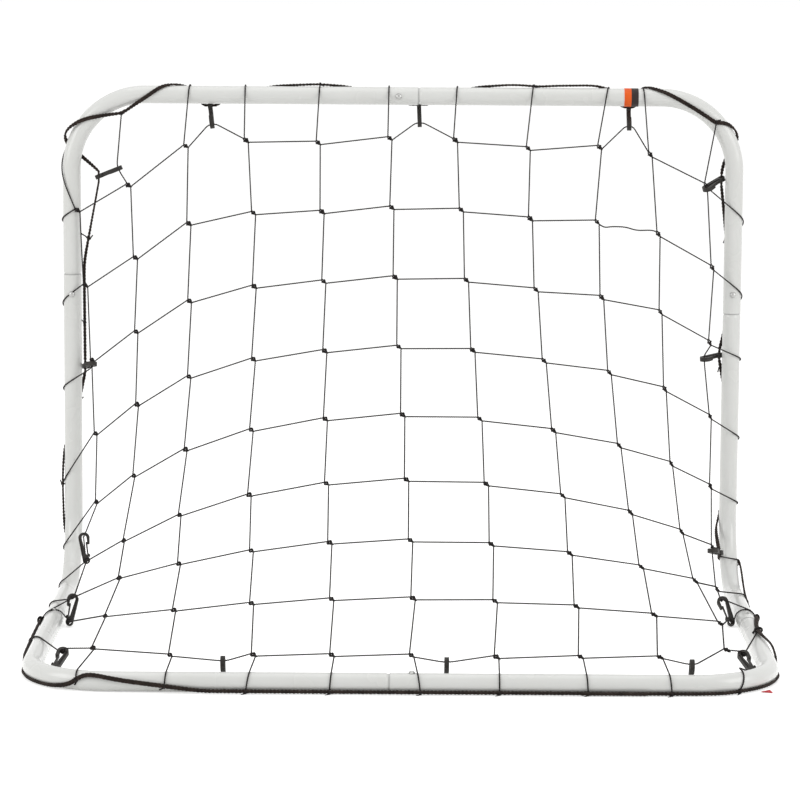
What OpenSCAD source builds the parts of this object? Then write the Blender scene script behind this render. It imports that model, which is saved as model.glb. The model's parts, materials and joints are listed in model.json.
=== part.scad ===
// Knock-down practice hockey goal: six bent steel tubes, plug joints with snap buttons,
// and a cord net held by a border cord and sixteen gated clips.
// X runs across the goal, +Y towards the mouth, +Z up. The origin is on the floor, under the
// middle of the frame. The net, its clips and its cord are laid out from the plane of the
// uprights (y = 0) and moved into the part's frame by from_uprights().

/* [Frame] */
// Outside diameter of the frame tube
tube_d = 25.4; // [22:0.1:28]
// Wall of the frame tube
tube_wall = 1.2; // [1:0.1:1.6]
// Outside width across the uprights
frame_w = 970; // [966:1:974]
// Outside height to the top of the top bar
frame_h = 722.7; // [719:0.1:726]
// Depth between the uprights and the low bar, centre to centre
base_depth = 690; // [687:1:693]
// Centreline radius of every bend
bend_r = 105; // [100:1:110]

/* [Plug joints] */
// Length of the reduced end inside the other tube
plug_len = 55; // [45:1:65]
// Clearance all round between plug and tube
plug_gap = 0.2; // [0.1:0.05:0.4]
// Length of the cone that reduces the tube to the plug
swage_len = 4; // [3:0.5:6]
// Gap between the two tubes' ends at a seam
seam_gap = 0.3; // [0.1:0.1:1]
// Distance from the mouth of the outer tube to its button
button_inset = 28; // [22:1:34]
// Height of the left upright's seam
left_seam_z = 453; // [430:1:470]
// Height of the right upright's seam
right_seam_z = 402; // [385:1:420]
// Distance of the left base seam from the uprights
left_seam_y = 280; // [260:1:300]
// Distance of the right base seam from the uprights
right_seam_y = 326; // [310:1:345]
// Place of the top bar's seam, right of the middle
top_seam_x = 21; // [5:1:40]
// Place of the low bar's seam, left of the middle
front_seam_x = 14; // [5:1:30]

/* [Snap buttons] */
// Diameter of the button
button_d = 8; // [6:0.5:9]
// Height that the button stands out of the tube
button_out = 3.2; // [2:0.2:4]
// Clearance all round between the button and its holes
button_gap = 0.3; // [0.2:0.05:0.5]
// Thickness of the button's flange
flange_t = 1; // [0.8:0.1:1.5]
// Thickness of the spring's leaf
leaf_t = 0.8; // [0.6:0.1:1]
// Width of the spring's leaf
leaf_w = 8; // [6:0.5:10]
// Distance from the button to the spring's bend
leaf_len = 30; // [24:1:36]

/* [Net] */
// Thickness of the net's twine
twine_d = 2.4; // [1.8:0.1:2.8]
// Thickness of a knot
knot_d = 3.8; // [3:0.1:4.4]
// Slack length of a mesh bar across the goal
row_bar = 92; // [90:0.5:94]
// Slack length of a mesh bar down the goal
column_bar = 86; // [84:0.5:88]
// Diameter of the border cord
cord_d = 5.5; // [5:0.1:6]
// Clearance between the twine and a tube that it wraps
wrap_gap = 0.4; // [0.3:0.1:0.8]

/* [Clips] */
// Distance from the centre of the eye to the centre of the hooked head
clip_len = 32; // [30:0.5:34]
// Thickness of a clip
clip_t = 6; // [5:0.5:7]
// Outside radius of the head
head_r = 7.8; // [7.4:0.1:8.2]
// Inside radius of the head
head_bore_r = 3.8; // [3.4:0.1:4]
// Outside radius of the eye
eye_r = 5.2; // [5:0.1:5.6]
// Radius of the hole in the eye
eye_bore_r = 3; // [2.9:0.05:3.2]
// Thickness of the gate
gate_t = 1.6; // [1.2:0.1:2]
// Radius of the gate's pivot roll
gate_roll_r = 1.5; // [1.3:0.1:1.7]
// Clearance between the gate and the clip
gate_gap = 0.25; // [0.2:0.05:0.4]

/* [Band and tag] */
// Length of each colour of the band on the top bar
band_len = 10; // [6:0.5:14]
// Thickness of the band
band_t = 0.4; // [0.3:0.1:0.8]
// Distance of the band's middle from the right-hand bend
band_inset = 44; // [30:1:60]
// Length of the tag's sides
tag_size = 16; // [10:1:20]
// Thickness of the tag
tag_t = 1; // [0.6:0.1:2]

/* [Hidden] */
$fn = 48;
tube_r = tube_d / 2;
bore_r = tube_r - tube_wall;
plug_r = bore_r - plug_gap;
plug_bore_r = plug_r - tube_wall;
side_x = (frame_w - tube_d) / 2;
top_z = frame_h - tube_r;
floor_z = tube_r;
rear_y = base_depth / 2;
hole_r = button_d / 2 + button_gap;
flange_r = hole_r + 1;
flange_top = sqrt(pow(plug_bore_r, 2) - pow(flange_r, 2)) - button_gap;
leaf_gap = 0.1;
seat_gap = 0.3;
out_x = frame_w / 2;
twine_r = twine_d / 2;
cord_r = cord_d / 2;
wrap_r = tube_r + wrap_gap + twine_r;
cord_out = tube_r + wrap_gap + cord_r;

function from_uprights(p) = p + [0, rear_y, 0];
function unit(v) = v / norm(v);

// ---------- frame tubes ----------
// A tube runs from seam to seam round one bend. Each leg ends in a socket (plain end)
// or in a plug: a short cone and a reduced length that slides into the next socket.
module ring(ro, ri, h) {
  difference() {
    cylinder(r = ro, h = h);
    translate([0, 0, -1]) cylinder(r = ri, h = h + 2);
  }
}

module plug_end() {
  rotate_extrude()
    polygon([[bore_r, 0], [tube_r, 0], [plug_r, swage_len], [plug_bore_r, swage_len]]);
  translate([0, 0, swage_len]) ring(plug_r, plug_bore_r, plug_len);
}

// A leg along +Z from the bend to its seam, with its button hole on the side +X.
module leg(len, plug) {
  body = plug ? len - swage_len - seam_gap : len;
  hole_z = plug ? len + button_inset : len - button_inset;
  difference() {
    union() {
      ring(tube_r, bore_r, body);
      if (plug) translate([0, 0, body]) plug_end();
    }
    translate([0, 0, hole_z]) rotate([0, 90, 0]) cylinder(r = hole_r, h = tube_d);
  }
}

// A bend in the XY plane about the origin, from the +X axis to the +Y axis.
module bend() {
  rotate_extrude(angle = 90)
    translate([bend_r, 0]) difference() {
      circle(r = tube_r);
      circle(r = bore_r);
    }
}

module on_leg_a(turn) {
  translate([bend_r, 0, 0]) rotate([90, 0, 0]) rotate(turn) children();
}

module on_leg_b(turn) {
  translate([0, bend_r, 0]) rotate([0, -90, 0]) rotate(turn) children();
}

// A bent tube: leg A leaves the bend along -Y, leg B along -X.
// The button sides are given as turns about each leg's own axis.
module elbow(leg_a, plug_a, turn_a, leg_b, plug_b, turn_b) {
  bend();
  on_leg_a(turn_a) leg(leg_a, plug_a);
  on_leg_b(turn_b) leg(leg_b, plug_b);
}

corner_x = side_x - bend_r;
corner_z = top_z - bend_r;
heel_y = bend_r;
heel_z = floor_z + bend_r;
front_corner_y = base_depth - bend_r;

// Each tube's place in the frame. side is -1 for left and 1 for right.
module in_corner(side) {
  translate([side * corner_x, rear_y, corner_z])
    mirror([side < 0 ? 1 : 0, 0, 0]) rotate([90, 0, 0]) children();
}

module in_heel(side) {
  translate([side * side_x, rear_y - heel_y, heel_z]) rotate([0, 90, 0]) children();
}

module in_front(side) {
  translate([side * corner_x, rear_y - front_corner_y, floor_z])
    mirror([side < 0 ? 0 : 1, 0, 0]) rotate(180) children();
}

// Upper tubes: the bend lies in the plane of the uprights, with buttons on the net's side.
module top_left() {
  color("white") in_corner(-1)
    elbow(corner_z - left_seam_z, true, 90, corner_x + top_seam_x, false, 0);
}

module top_right() {
  color("white") in_corner(1)
    elbow(corner_z - right_seam_z, false, 90, corner_x - top_seam_x, true, 0);
}

// Heel tubes: the bend turns the upright forward along the floor.
module left_heel() {
  color("white") in_heel(-1)
    elbow(left_seam_y - heel_y, true, 180, left_seam_z - heel_z, false, -90);
}

module right_heel() {
  color("white") in_heel(1)
    elbow(right_seam_y - heel_y, false, 180, right_seam_z - heel_z, true, -90);
}

// Front tubes: the bend lies on the floor, with buttons on top.
module front_left() {
  color("white") in_front(-1)
    elbow(front_corner_y - left_seam_y, false, 90, corner_x - front_seam_x, true, 0);
}

module front_right() {
  color("white") in_front(1)
    elbow(front_corner_y - right_seam_y, true, 90, corner_x + front_seam_x, false, 0);
}

// ---------- snap buttons ----------
// One at each seam, in the order of SEAMS. Each is drawn on the socket's leg, facing +X.
SEAMS = ["top", "left_upright", "right_upright", "left_base", "right_base", "front"];

module at_button(seam) {
  if (seam == 0) in_corner(-1) on_leg_b(0) button_station(corner_x + top_seam_x) children();
  if (seam == 1) in_heel(-1) on_leg_b(-90) button_station(left_seam_z - heel_z) children();
  if (seam == 2) in_corner(1) on_leg_a(90) button_station(corner_z - right_seam_z) children();
  if (seam == 3) in_front(-1) on_leg_a(90) button_station(front_corner_y - left_seam_y) children();
  if (seam == 4) in_heel(1) on_leg_a(180) button_station(right_seam_y - heel_y) children();
  if (seam == 5) in_front(1) on_leg_b(0) button_station(corner_x + front_seam_x) children();
}

module button_station(len) {
  translate([0, 0, len - button_inset]) children();
}

// A domed button on a flange, standing through both walls.
module button() {
  rise = tube_r + button_out - flange_top + flange_t;
  dome_r = 0.7 * button_d;
  translate([flange_top - flange_t, 0, 0]) rotate([0, 90, 0]) rotate_extrude() {
    square([flange_r, flange_t]);
    intersection() {
      square([button_d / 2, rise]);
      translate([0, rise - dome_r]) circle(r = dome_r);
    }
  }
}

// A hairpin leaf inside the plug: the upper arm carries the button, the lower arm lies on the
// far wall.
module leaf_spring() {
  bend_mid = 3;
  pad = flange_r + 0.5;
  top = flange_top - flange_t - leaf_gap;
  low = sqrt(pow(plug_bore_r, 2) - pow(leaf_w / 2, 2)) - button_gap;
  out_r = bend_mid + leaf_t / 2;
  rotate([-90, -90, 0]) {
    plate(leaf_w) polygon([[-pad, top], [pad, top], [leaf_len, out_r], [leaf_len, out_r - leaf_t],
      [pad, top - leaf_t], [-pad, top - leaf_t]]);
    plate(leaf_w) polygon([[-pad, -low], [leaf_len, -out_r], [leaf_len, leaf_t - out_r],
      [-pad, leaf_t - low]]);
    translate([leaf_len, 0, 0]) difference() {
      plate(leaf_w) circle(r = out_r);
      plate(2 * leaf_w) circle(r = out_r - leaf_t);
      translate([-2 * out_r - leaf_t / 2, -out_r, -leaf_w]) cube([2 * out_r, 2 * out_r, 2 * leaf_w]);
    }
  }
}

// ---------- clips ----------
// Places that the clips and the net's ends are measured from: the outer face of an upright, the
// top bar's centreline and the low bar's centreline.
LEFT = [-out_x, 0, 0];
RIGHT = [out_x, 0, 0];
TOP = [0, 0, top_z];
LOW = [0, -base_depth, 0];

// [name, what it is measured from, centre of the eye, point that the head is drawn towards,
// side that the nose is on]
CLIPS = [
  ["top_1", TOP, [-276, 17.5, -16], [-272, -6, -43], [0, -1, 0]],
  ["top_2", TOP, [22, 19, -13], [23, -6, -39], [0, -1, 0]],
  ["top_3", TOP, [321, 17, -14.5], [321, -6, -42], [0, -1, 0]],
  ["left_1", LEFT + TOP, [51, 0, -117], [82, -14, -104], [0, -1, 0]],
  ["left_2", LEFT, [29, 12, 318], [42, -20, 326], [1, 0, 0]],
  ["left_3", LEFT, [40, -110, 57], [36, -105, 91], [1, 0, 0]],
  ["left_4", LEFT, [33, -297, 6.5], [37, -283, 38], [-1, 0, 0]],
  ["left_5", LEFT + LOW, [41, 92, 7], [51, 120, 25], [-1, 0, 0]],
  ["right_1", RIGHT + TOP, [-30, 12, -116], [-54, -12, -129], [1, -1, 0]],
  ["right_2", RIGHT, [-28, 14, 340], [-53, -12, 337], [1, -1, 0]],
  ["right_3", RIGHT, [-30, -74, 67], [-44, -106, 76], [1, 0, 0]],
  ["right_4", RIGHT, [-31, -270, 6.5], [-43, -250, 34.5], [-1, 0, 0]],
  ["right_5", RIGHT + LOW, [-32, 100, 7], [-44, 127, 25], [1, 0, 0]],
  ["front_1", LOW, [-224, 38, 6.5], [-224, 21, 34], [0, -1, 0]],
  ["front_2", LOW, [58, 38, 6.5], [58, 21, 34], [0, -1, 0]],
  ["front_3", LOW, [367, 38, 6.5], [367, 21, 32], [0, -1, 0]],
];
TOP_1 = 0;
LEFT_1 = 3;
RIGHT_1 = 8;
FRONT_1 = 13;

function clip_eye(c) = CLIPS[c][1] + CLIPS[c][2];
function clip_along(c) = unit(CLIPS[c][3] - CLIPS[c][2]);
function clip_across(c) = unit(cross(CLIPS[c][4], clip_along(c)));
function clip_seat(c) = clip_eye(c) + (clip_len + head_bore_r - twine_r - seat_gap) * clip_along(c);
// Places beside the head and beside the eye, on the clip's front (1) or back (-1).
function head_side(c, side) = clip_seat(c) + side * (clip_t / 2 + knot_d / 2) * clip_across(c);
function eye_side(c, side) = clip_eye(c) + side * (clip_t / 2 + knot_d / 2) * clip_across(c);

// Clip coordinates: the eye at the origin, the head on +Y, the nose on +X.
module at_clip(c) {
  y = clip_along(c);
  z = clip_across(c);
  x = cross(y, z);
  o = from_uprights(clip_eye(c));
  multmatrix([[x[0], y[0], z[0], o[0]], [x[1], y[1], z[1], o[1]], [x[2], y[2], z[2], o[2]]])
    children();
}

// The gate's pivot, the pocket and boss round it, and the nose that the gate shuts against.
roll_x = 2.9;
roll_y = eye_r + 1.4;
pocket_r = gate_roll_r + gate_gap;
boss_r = pocket_r + 1.3;
nose_len = 8.5;
nose_y = clip_len - nose_len;
nose_in = roll_x + gate_t / 2 + gate_gap;
nose_out = head_r - 0.9;
nose_r = (nose_out - nose_in) / 2;
lap = 1;
// The back leg's inner edge at the pivot, and the groove down each of its faces.
leg_in = 0.6;
groove = 0.8;
groove_rim = 1.3;
groove_y = eye_r + 3;
// The mouth narrows below the nose; the gate has room to swing above its pocket.
mouth_y = nose_y - 2;
mouth_in = leg_in - 2;
swing_room = 1.6;
swing_len = 6;
// The gate lies a little in from both faces and ends in a rounded tip behind the nose.
gate_w = clip_t - 1.6;
gate_reach = clip_len - 7 - roll_y;
gate_taper = 0.4;
tip_r = 0.6 * gate_t;
tip_in = 0.25;

module plate(h) {
  translate([0, 0, -h / 2]) linear_extrude(h) children();
}

// Eye, pivot boss, back leg, head and nose in one piece, with the eye, the pivot's pocket and
// a shallow groove on each face of the leg cut out of it.
module clip_body() {
  difference() {
    union() {
      plate(clip_t) circle(r = eye_r);
      plate(clip_t) translate([roll_x, roll_y]) circle(r = boss_r);
      plate(clip_t) polygon([[-eye_r * 0.98, 1], [-head_r, clip_len], [-head_bore_r, clip_len],
        [leg_in, roll_y], [roll_x, roll_y - boss_r / 2], [0, 0]]);
      difference() {
        plate(clip_t) translate([0, clip_len]) circle(r = head_r);
        translate([-tube_d, 0, -clip_t]) cube([2 * tube_d, clip_len - lap, 2 * clip_t]);
      }
      plate(clip_t) polygon([[0, clip_len], [head_r, clip_len], [nose_out, nose_y], [nose_in, nose_y]]);
      plate(clip_t) translate([nose_in + nose_r, nose_y]) circle(r = nose_r);
    }
    plate(2 * clip_t) circle(r = eye_bore_r);
    plate(2 * clip_t) translate([0, clip_len]) circle(r = head_bore_r);
    plate(2 * clip_t) polygon([[-head_bore_r, clip_len], [head_bore_r, clip_len], [nose_in, mouth_y],
      [mouth_in, mouth_y]]);
    plate(2 * clip_t) translate([roll_x, roll_y]) {
      circle(r = pocket_r);
      polygon([[-pocket_r * 0.7, 0], [-pocket_r - swing_room, swing_len], [pocket_r * 0.7, swing_len],
        [pocket_r * 0.7, 0]]);
    }
    for (face = [-1, 1])
      translate([0, 0, face * clip_t / 2]) plate(2 * groove)
        polygon([[2 * groove_rim - head_r, groove_y], [groove_rim - head_r, clip_len],
          [-head_bore_r - groove_rim, clip_len], [leg_in - 4, groove_y]]);
  }
}

module clip_gate() {
  plate(gate_w) translate([roll_x, roll_y]) {
    circle(r = gate_roll_r);
    polygon([[-gate_t / 2, 0], [gate_t / 2, 0], [gate_t / 2, gate_reach],
      [-gate_t / 2 - gate_taper, gate_reach]]);
    translate([-tip_in, gate_reach]) circle(r = tip_r);
  }
}

// ---------- net ----------
// Eleven columns of knots across the goal by nine rows down it, numbered from 0. The net lies
// over the frame, wraps round the tubes and ends at the border cord.
COLUMNS = 11;
ROWS = 9;
LAST_C = COLUMNS - 1;
LAST_R = ROWS - 1;

// A crossing is [point on a tube's centreline, net side, outward side, angle of the cord].
function top_crossing(x) =
  let (s = x < 0 ? -1 : 1, a = asin(max(abs(x) - corner_x, 0) / bend_r))
  [[x, 0, corner_z + bend_r * cos(a)], [0, -1, 0], [s * sin(a), 0, cos(a)], 165];
function upright_crossing(s, z) =
  let (a = asin(max(z - corner_z, 0) / bend_r), b = asin(max(heel_z - z, 0) / bend_r))
  [[s * (corner_x + bend_r * cos(a)), bend_r * cos(b) - heel_y, z],
    [0, -cos(b), sin(b)], [s * cos(a), 0, sin(a)], 150];
function base_crossing(s, y) = [[s * side_x, y, floor_z], [0, 0, 1], [s, 0, 0], 110];
function front_crossing(x) =
  let (s = x < 0 ? -1 : 1, a = asin(max(abs(x) - corner_x, 0) / bend_r))
  [[x, -front_corner_y - bend_r * cos(a), floor_z], [0, 0, 1], [s * sin(a), -cos(a), 0], 120];

function around(crossing, r, angle) =
  crossing[0] + r * (cos(angle) * crossing[1] + sin(angle) * crossing[2]);

// Where the strands cross the frame, column by column and row by row. Across, they are measured
// in from the frame's left and right sides; along the base, from the uprights or the low bar.
TOP_ENDS = concat([upright_crossing(-1, top_z - 71)],
  [for (d = [87, 179, 259, 364, 467]) top_crossing(d - out_x)],
  [for (d = [408, 304, 199, 134, 42]) top_crossing(out_x - d)]);
FRONT_ENDS = concat([for (d = [87, 189, 292, 397]) front_crossing(d - out_x)],
  [for (d = [460, 360, 251, 147]) front_crossing(out_x - d)]);
LEFT_ENDS = concat([for (z = [523, 398, 282, 163, 59]) upright_crossing(-1, z)],
  [for (y = [-89, -225, 369 - base_depth, 232 - base_depth]) base_crossing(-1, y)]);
RIGHT_ENDS = concat([for (z = [524, 418, 332, 217, 115]) upright_crossing(1, z)],
  [for (y = [-60, -144, 406 - base_depth, 250 - base_depth]) base_crossing(1, y)]);

// A hole that twine passes through is [clip, its middle]: the clip's head or its eye.
function head(h) = [h, clip_seat(h)];
function eye(h) = [h, clip_eye(h)];

// Mesh bars that a clip holds: [column, row, hole], for the bar to the next column or row.
HELD_ACROSS = [[2, 0, head(TOP_1)], [5, 0, head(TOP_1 + 1)], [8, 0, head(TOP_1 + 2)],
  [2, LAST_R, head(FRONT_1)], [5, LAST_R, head(FRONT_1 + 1)], [8, LAST_R, head(FRONT_1 + 2)]];
HELD_DOWN = [[0, 2, head(LEFT_1 + 1)], [0, 4, head(LEFT_1 + 2)], [0, 5, head(LEFT_1 + 3)],
  [LAST_C, 0, head(RIGHT_1)], [LAST_C, 2, head(RIGHT_1 + 1)], [LAST_C, 5, head(RIGHT_1 + 2)]];
// Bars that the net lacks at its two lower corners: [column, row], for the bar to the next
// column or row.
NOT_ACROSS = [[0, LAST_R], [LAST_C - 1, LAST_R]];
NOT_DOWN = [[0, 6], [0, 7], [LAST_C, 6], [LAST_C, 7]];

// Knots that a clip or the frame fixes: [column, row, place].
FIXED = [
  [0, 2, head_side(LEFT_1 + 1, -1)],
  [0, 5, eye_side(LEFT_1 + 2, 1)],
  [0, 6, head_side(LEFT_1 + 3, -1)],
  [0, 7, eye_side(LEFT_1 + 3, -1)],
  [0, LAST_R, clip_seat(LEFT_1 + 4)],
  [1, 7, LEFT + LOW + [97, 214, 52]],
  [1, LAST_R, LEFT + LOW + [91, 98, 34]],
  [LAST_C, 0, head_side(RIGHT_1, -1)],
  [LAST_C, 5, head_side(RIGHT_1 + 2, -1)],
  [LAST_C, 6, RIGHT + [-46, -215, 42]],
  [LAST_C, 7, eye_side(RIGHT_1 + 3, -1)],
  [LAST_C, LAST_R, clip_seat(RIGHT_1 + 4)],
  [LAST_C - 1, 7, RIGHT + LOW + [-63, 242, 42]],
  [LAST_C - 1, LAST_R, RIGHT + LOW + [-64, 129, 30]],
];

function held(list, c, r) = [for (h = list) if (h[0] == c && h[1] == r) h[2]][0];
function listed(list, c, r) = len([for (h = list) if (h[0] == c && h[1] == r) 1]) > 0;
function index(c, r) = r * COLUMNS + c;

// Slack lengths of the strands that end at the frame, and half of a bar that a clip holds. The
// second column's first knot is tied short to a clip, and the others reach the top bar.
TOP_BARS = [75, 12, 54, 56, 61, 53, 56, 67, 63, 66, 61];
front_bar = 9;
left_bar = 95;
right_bar = 65;
clip_bar = row_bar / 2;
left_slip = 26;
right_slip = 17;
LOOSE = 1e6;

// What pulls on a knot: [index of the other knot, or a fixed place, and the slack length].
function tie_across(c, r, near) =
  let (h = held(HELD_ACROSS, near, r))
  is_undef(h) ? [index(c, r), row_bar] : [h[1], clip_bar];
function tie_left(c, r) = c > 0 ? tie_across(c - 1, r, c - 1)
  : [around(LEFT_ENDS[r], wrap_r, 50) - [0, 0, left_slip], left_bar];
function tie_right(c, r) = c < LAST_C ? tie_across(c + 1, r, c)
  : [around(RIGHT_ENDS[r], wrap_r, 50) - [0, 0, right_slip], right_bar];
function tie_up(c, r) = r > 0 ? [index(c, r - 1), column_bar]
  : [c == 1 ? clip_seat(LEFT_1) : around(TOP_ENDS[c], tube_r, 42), TOP_BARS[c]];
function tie_down(c, r) = r < LAST_R ? [index(c, r + 1), column_bar]
  : c > 0 && c <= len(FRONT_ENDS) ? [around(FRONT_ENDS[c - 1], tube_r, 0), front_bar]
  : [index(c, r), LOOSE];

// The net hangs where the pulls on every knot cancel. Strands pull and never push.
drag = 0.9;
pull_rate = 0.12;
knot_weight = 0.1;
settle_steps = 260;

function pull(p, tie, knots) =
  let (d = (is_num(tie[0]) ? knots[tie[0]] : tie[0]) - p, l = norm(d))
  l > tie[1] ? (1 - tie[1] / l) * d : [0, 0, 0];
function pull_all(p, t, knots) =
  pull(p, t[0], knots) + pull(p, t[1], knots) + pull(p, t[2], knots) + pull(p, t[3], knots);
function settle(knots, speed, ties, steps) =
  steps == 0 ? knots
  : let (moved = [for (k = [0:len(knots) - 1]) len(ties[k]) == 0 ? [0, 0, 0]
      : drag * speed[k] + pull_rate * (pull_all(knots[k], ties[k], knots) - [0, 0, knot_weight])])
    settle(knots + moved, moved, ties, steps - 1);

function first_knot(c, r) =
  let (f = held(FIXED, c, r), u = c / LAST_C, v = (r + 1) / (ROWS + 1))
  is_undef(f) ? [(2 * u - 1) * frame_w * 0.45, -30 - (base_depth - 60) * v * v, top_z * (1 - v) + 30]
  : f;
function knot_ties(c, r) =
  is_undef(held(FIXED, c, r)) ? [tie_left(c, r), tie_right(c, r), tie_up(c, r), tie_down(c, r)] : [];

// A knot beside an upright lies against it and not in it.
knot_out = tube_r + wrap_gap + knot_d * sqrt(3) / 2;
function beside_upright(p) =
  let (axis = [sign(p[0]) * side_x, 0, p[2]], d = p - axis, l = norm(d))
  p[2] > heel_z && l < knot_out ? axis + knot_out / l * d : p;

function settled_knots() =
  let (cells = [for (r = [0:LAST_R]) for (c = [0:LAST_C]) [c, r]])
  [for (p = settle([for (k = cells) first_knot(k[0], k[1])], [for (k = cells) [0, 0, 0]],
    [for (k = cells) knot_ties(k[0], k[1])], settle_steps)) beside_upright(p)];

// The route of a strand through a clip's hole, on its way from a to b.
function through(hole, a, b) =
  let (across = clip_across(hole[0]), d = ((b - a) * across > 0 ? 1 : -1) * (clip_t / 2 + twine_d))
  [hole[1] - d * across, hole[1] + d * across];
function route(hole, a, b) = is_undef(hole) ? [a, b] : concat([a], through(hole, a, b), [b]);

// The route of a strand from a knot, round the tube at a crossing, to the border cord.
wrap_step = 48;
function in_plane(crossing, p) =
  let (d = p - crossing[0])
  [d * crossing[1], d * crossing[2], d * unit(cross(crossing[1], crossing[2]))];
function nearest_on(p, a, b) =
  let (t = (p - a) * (b - a) / ((b - a) * (b - a))) a + min(max(t, 0), 1) * (b - a);
function nearest_cord(p) =
  let (n = len(CORD),
    found = [for (i = [0:n - 1]) nearest_on(p, CORD[i], CORD[(i + 1) % n])],
    gaps = [for (q = found) norm(q - p)])
  found[search(min(gaps), gaps)[0]];
function wrap(k, crossing) =
  let (r = wrap_r / cos(wrap_step / 2),
    cord = nearest_cord(around(crossing, cord_out, crossing[3])),
    a = in_plane(crossing, k),
    b = in_plane(crossing, cord),
    a_r = norm([a[0], a[1]]),
    b_r = norm([b[0], b[1]]),
    start = atan2(a[1], a[0]) + acos(min(r / a_r, 1)),
    stop = atan2(b[1], b[0]) - acos(min(r / b_r, 1)),
    stop_at = stop < start - 180 ? stop + 360 : stop,
    n = max(ceil((stop_at - start) / wrap_step), 1),
    axis = unit(cross(crossing[1], crossing[2])))
  concat([k],
    stop_at <= start ? []
    : [for (i = [0:n]) around(crossing, r, start + (stop_at - start) * i / n) + b[2] * i / n * axis],
    [cord]);

function clipped_wrap(k, hole, crossing) =
  let (pass = through(hole, k, crossing[0]))
  concat([k, pass[0]], wrap(pass[1], crossing));
function net_routes(knots) = concat(
  [for (r = [0:LAST_R]) for (c = [0:LAST_C - 1]) if (!listed(NOT_ACROSS, c, r))
    route(held(HELD_ACROSS, c, r), knots[index(c, r)], knots[index(c + 1, r)])],
  [for (r = [0:LAST_R - 1]) for (c = [0:LAST_C]) if (!listed(NOT_DOWN, c, r))
    route(held(HELD_DOWN, c, r), knots[index(c, r)], knots[index(c, r + 1)])],
  [for (c = [0:LAST_C]) if (c != 1) wrap(knots[index(c, 0)], TOP_ENDS[c])],
  [for (c = [0:len(FRONT_ENDS) - 1]) wrap(knots[index(c + 1, LAST_R)], FRONT_ENDS[c])],
  [for (r = [0, 1, 3, 4, 7]) wrap(knots[index(0, r)], LEFT_ENDS[r])],
  [for (r = [0, 1, 2, 3, 4, 6, 7]) wrap(knots[index(LAST_C, r)], RIGHT_ENDS[r])],
  [clipped_wrap(knots[index(1, 0)], head(LEFT_1), TOP_ENDS[1]),
    clipped_wrap(knots[index(0, 2)], head(LEFT_1 + 1), LEFT_ENDS[2]),
    clipped_wrap(knots[index(0, 5)], eye(LEFT_1 + 2), LEFT_ENDS[5]),
    clipped_wrap(knots[index(0, 6)], head(LEFT_1 + 3), LEFT_ENDS[6]),
    wrap(knots[index(0, 6)], LEFT_ENDS[7]),
    clipped_wrap(knots[index(LAST_C, 6)], head(RIGHT_1 + 3), RIGHT_ENDS[7]),
    clipped_wrap(knots[index(1, LAST_R)], head(LEFT_1 + 4), LEFT_ENDS[LAST_R]),
    clipped_wrap(knots[index(LAST_C - 1, LAST_R)], head(RIGHT_1 + 4), RIGHT_ENDS[LAST_R])]);

// An eight-sided bead, and a strand as hulls of beads.
module bead(r) {
  polyhedron(
    [[r, 0, 0], [-r, 0, 0], [0, r, 0], [0, -r, 0], [0, 0, r], [0, 0, -r]],
    [[4, 2, 0], [4, 1, 2], [4, 3, 1], [4, 0, 3], [5, 0, 2], [5, 2, 1], [5, 1, 3], [5, 3, 0]]);
}

module strand(points) {
  for (i = [1:len(points) - 1])
    hull() {
      translate(from_uprights(points[i - 1])) bead(twine_r);
      translate(from_uprights(points[i])) bead(twine_r);
    }
}

module net() {
  knots = settled_knots();
  color("dimgray") {
    for (points = net_routes(knots)) strand(points);
    for (r = [0:LAST_R]) for (c = [0:LAST_C])
      if (is_undef(held(FIXED, c, r)))
        translate(from_uprights(knots[index(c, r)])) cube(knot_d, center = true);
  }
}

// ---------- border cord ----------
// A closed loop behind the uprights and top bar, along the outside of the base and in front
// of the low bar, threaded through the eyes of the clips at the back.
CORD = [
  [-459, 17, 625], [-481, 15, 643], [-452, 16, 677], [-402, 16, 684], [-376, 17, 704],
  [-347, 17, 720], [-307, 15, 722], [-284, 17.5, 694], [-268, 17.5, 694], [-250, 17, 708],
  [-150, 15, 719], [14, 19, 697], [30, 19, 697], [110, 14.5, 720], [240, 15, 720],
  [313, 17, 695.5], [329, 17, 695.5], [352, 15, 721], [411, 17, 698], [446, 16, 675],
  [466, 15, 671], [472, 17, 643], [457, 16, 618], [455, 12, 602], [455, 12, 586],
  [470, 17, 460], [470, 17, 400], [457, 14, 348], [457, 14, 332], [470, 17, 270],
  [471, 17, 150], [460, 15, 124], [453, -6, 98], [454, -48, 76], [455, -77, 65],
  [466, -60, 66], [474, -37, 67], [489.5, -34, 46], [489.5, -60, 26], [489, -110, 10],
  [489, -244, 9], [488, -296, 18], [483, -330, 26], [475, -400, 29], [475, -455, 29],
  [487, -488, 23], [489.5, -510, 14], [489, -575, 4], [483, -620, 3.2], [468, -660, 3.2],
  [418, -705, 3.2], [-250, -706, 4], [-351, -706, 17.5], [-375, -704, 22], [-398, -698, 25], [-414, -701, 9],
  [-453, -671, 3.2], [-481, -626, 3.2], [-489, -575, 4], [-489, -110, 10], [-489, -60, 26],
  [-489.5, -4, 61], [-489.7, 2, 125], [-486, 10, 190], [-476, 17.5, 240], [-456, 12, 310],
  [-456, 12, 326], [-457, 15, 468], [-434, 0, 585], [-434, 0, 601],
];

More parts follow.
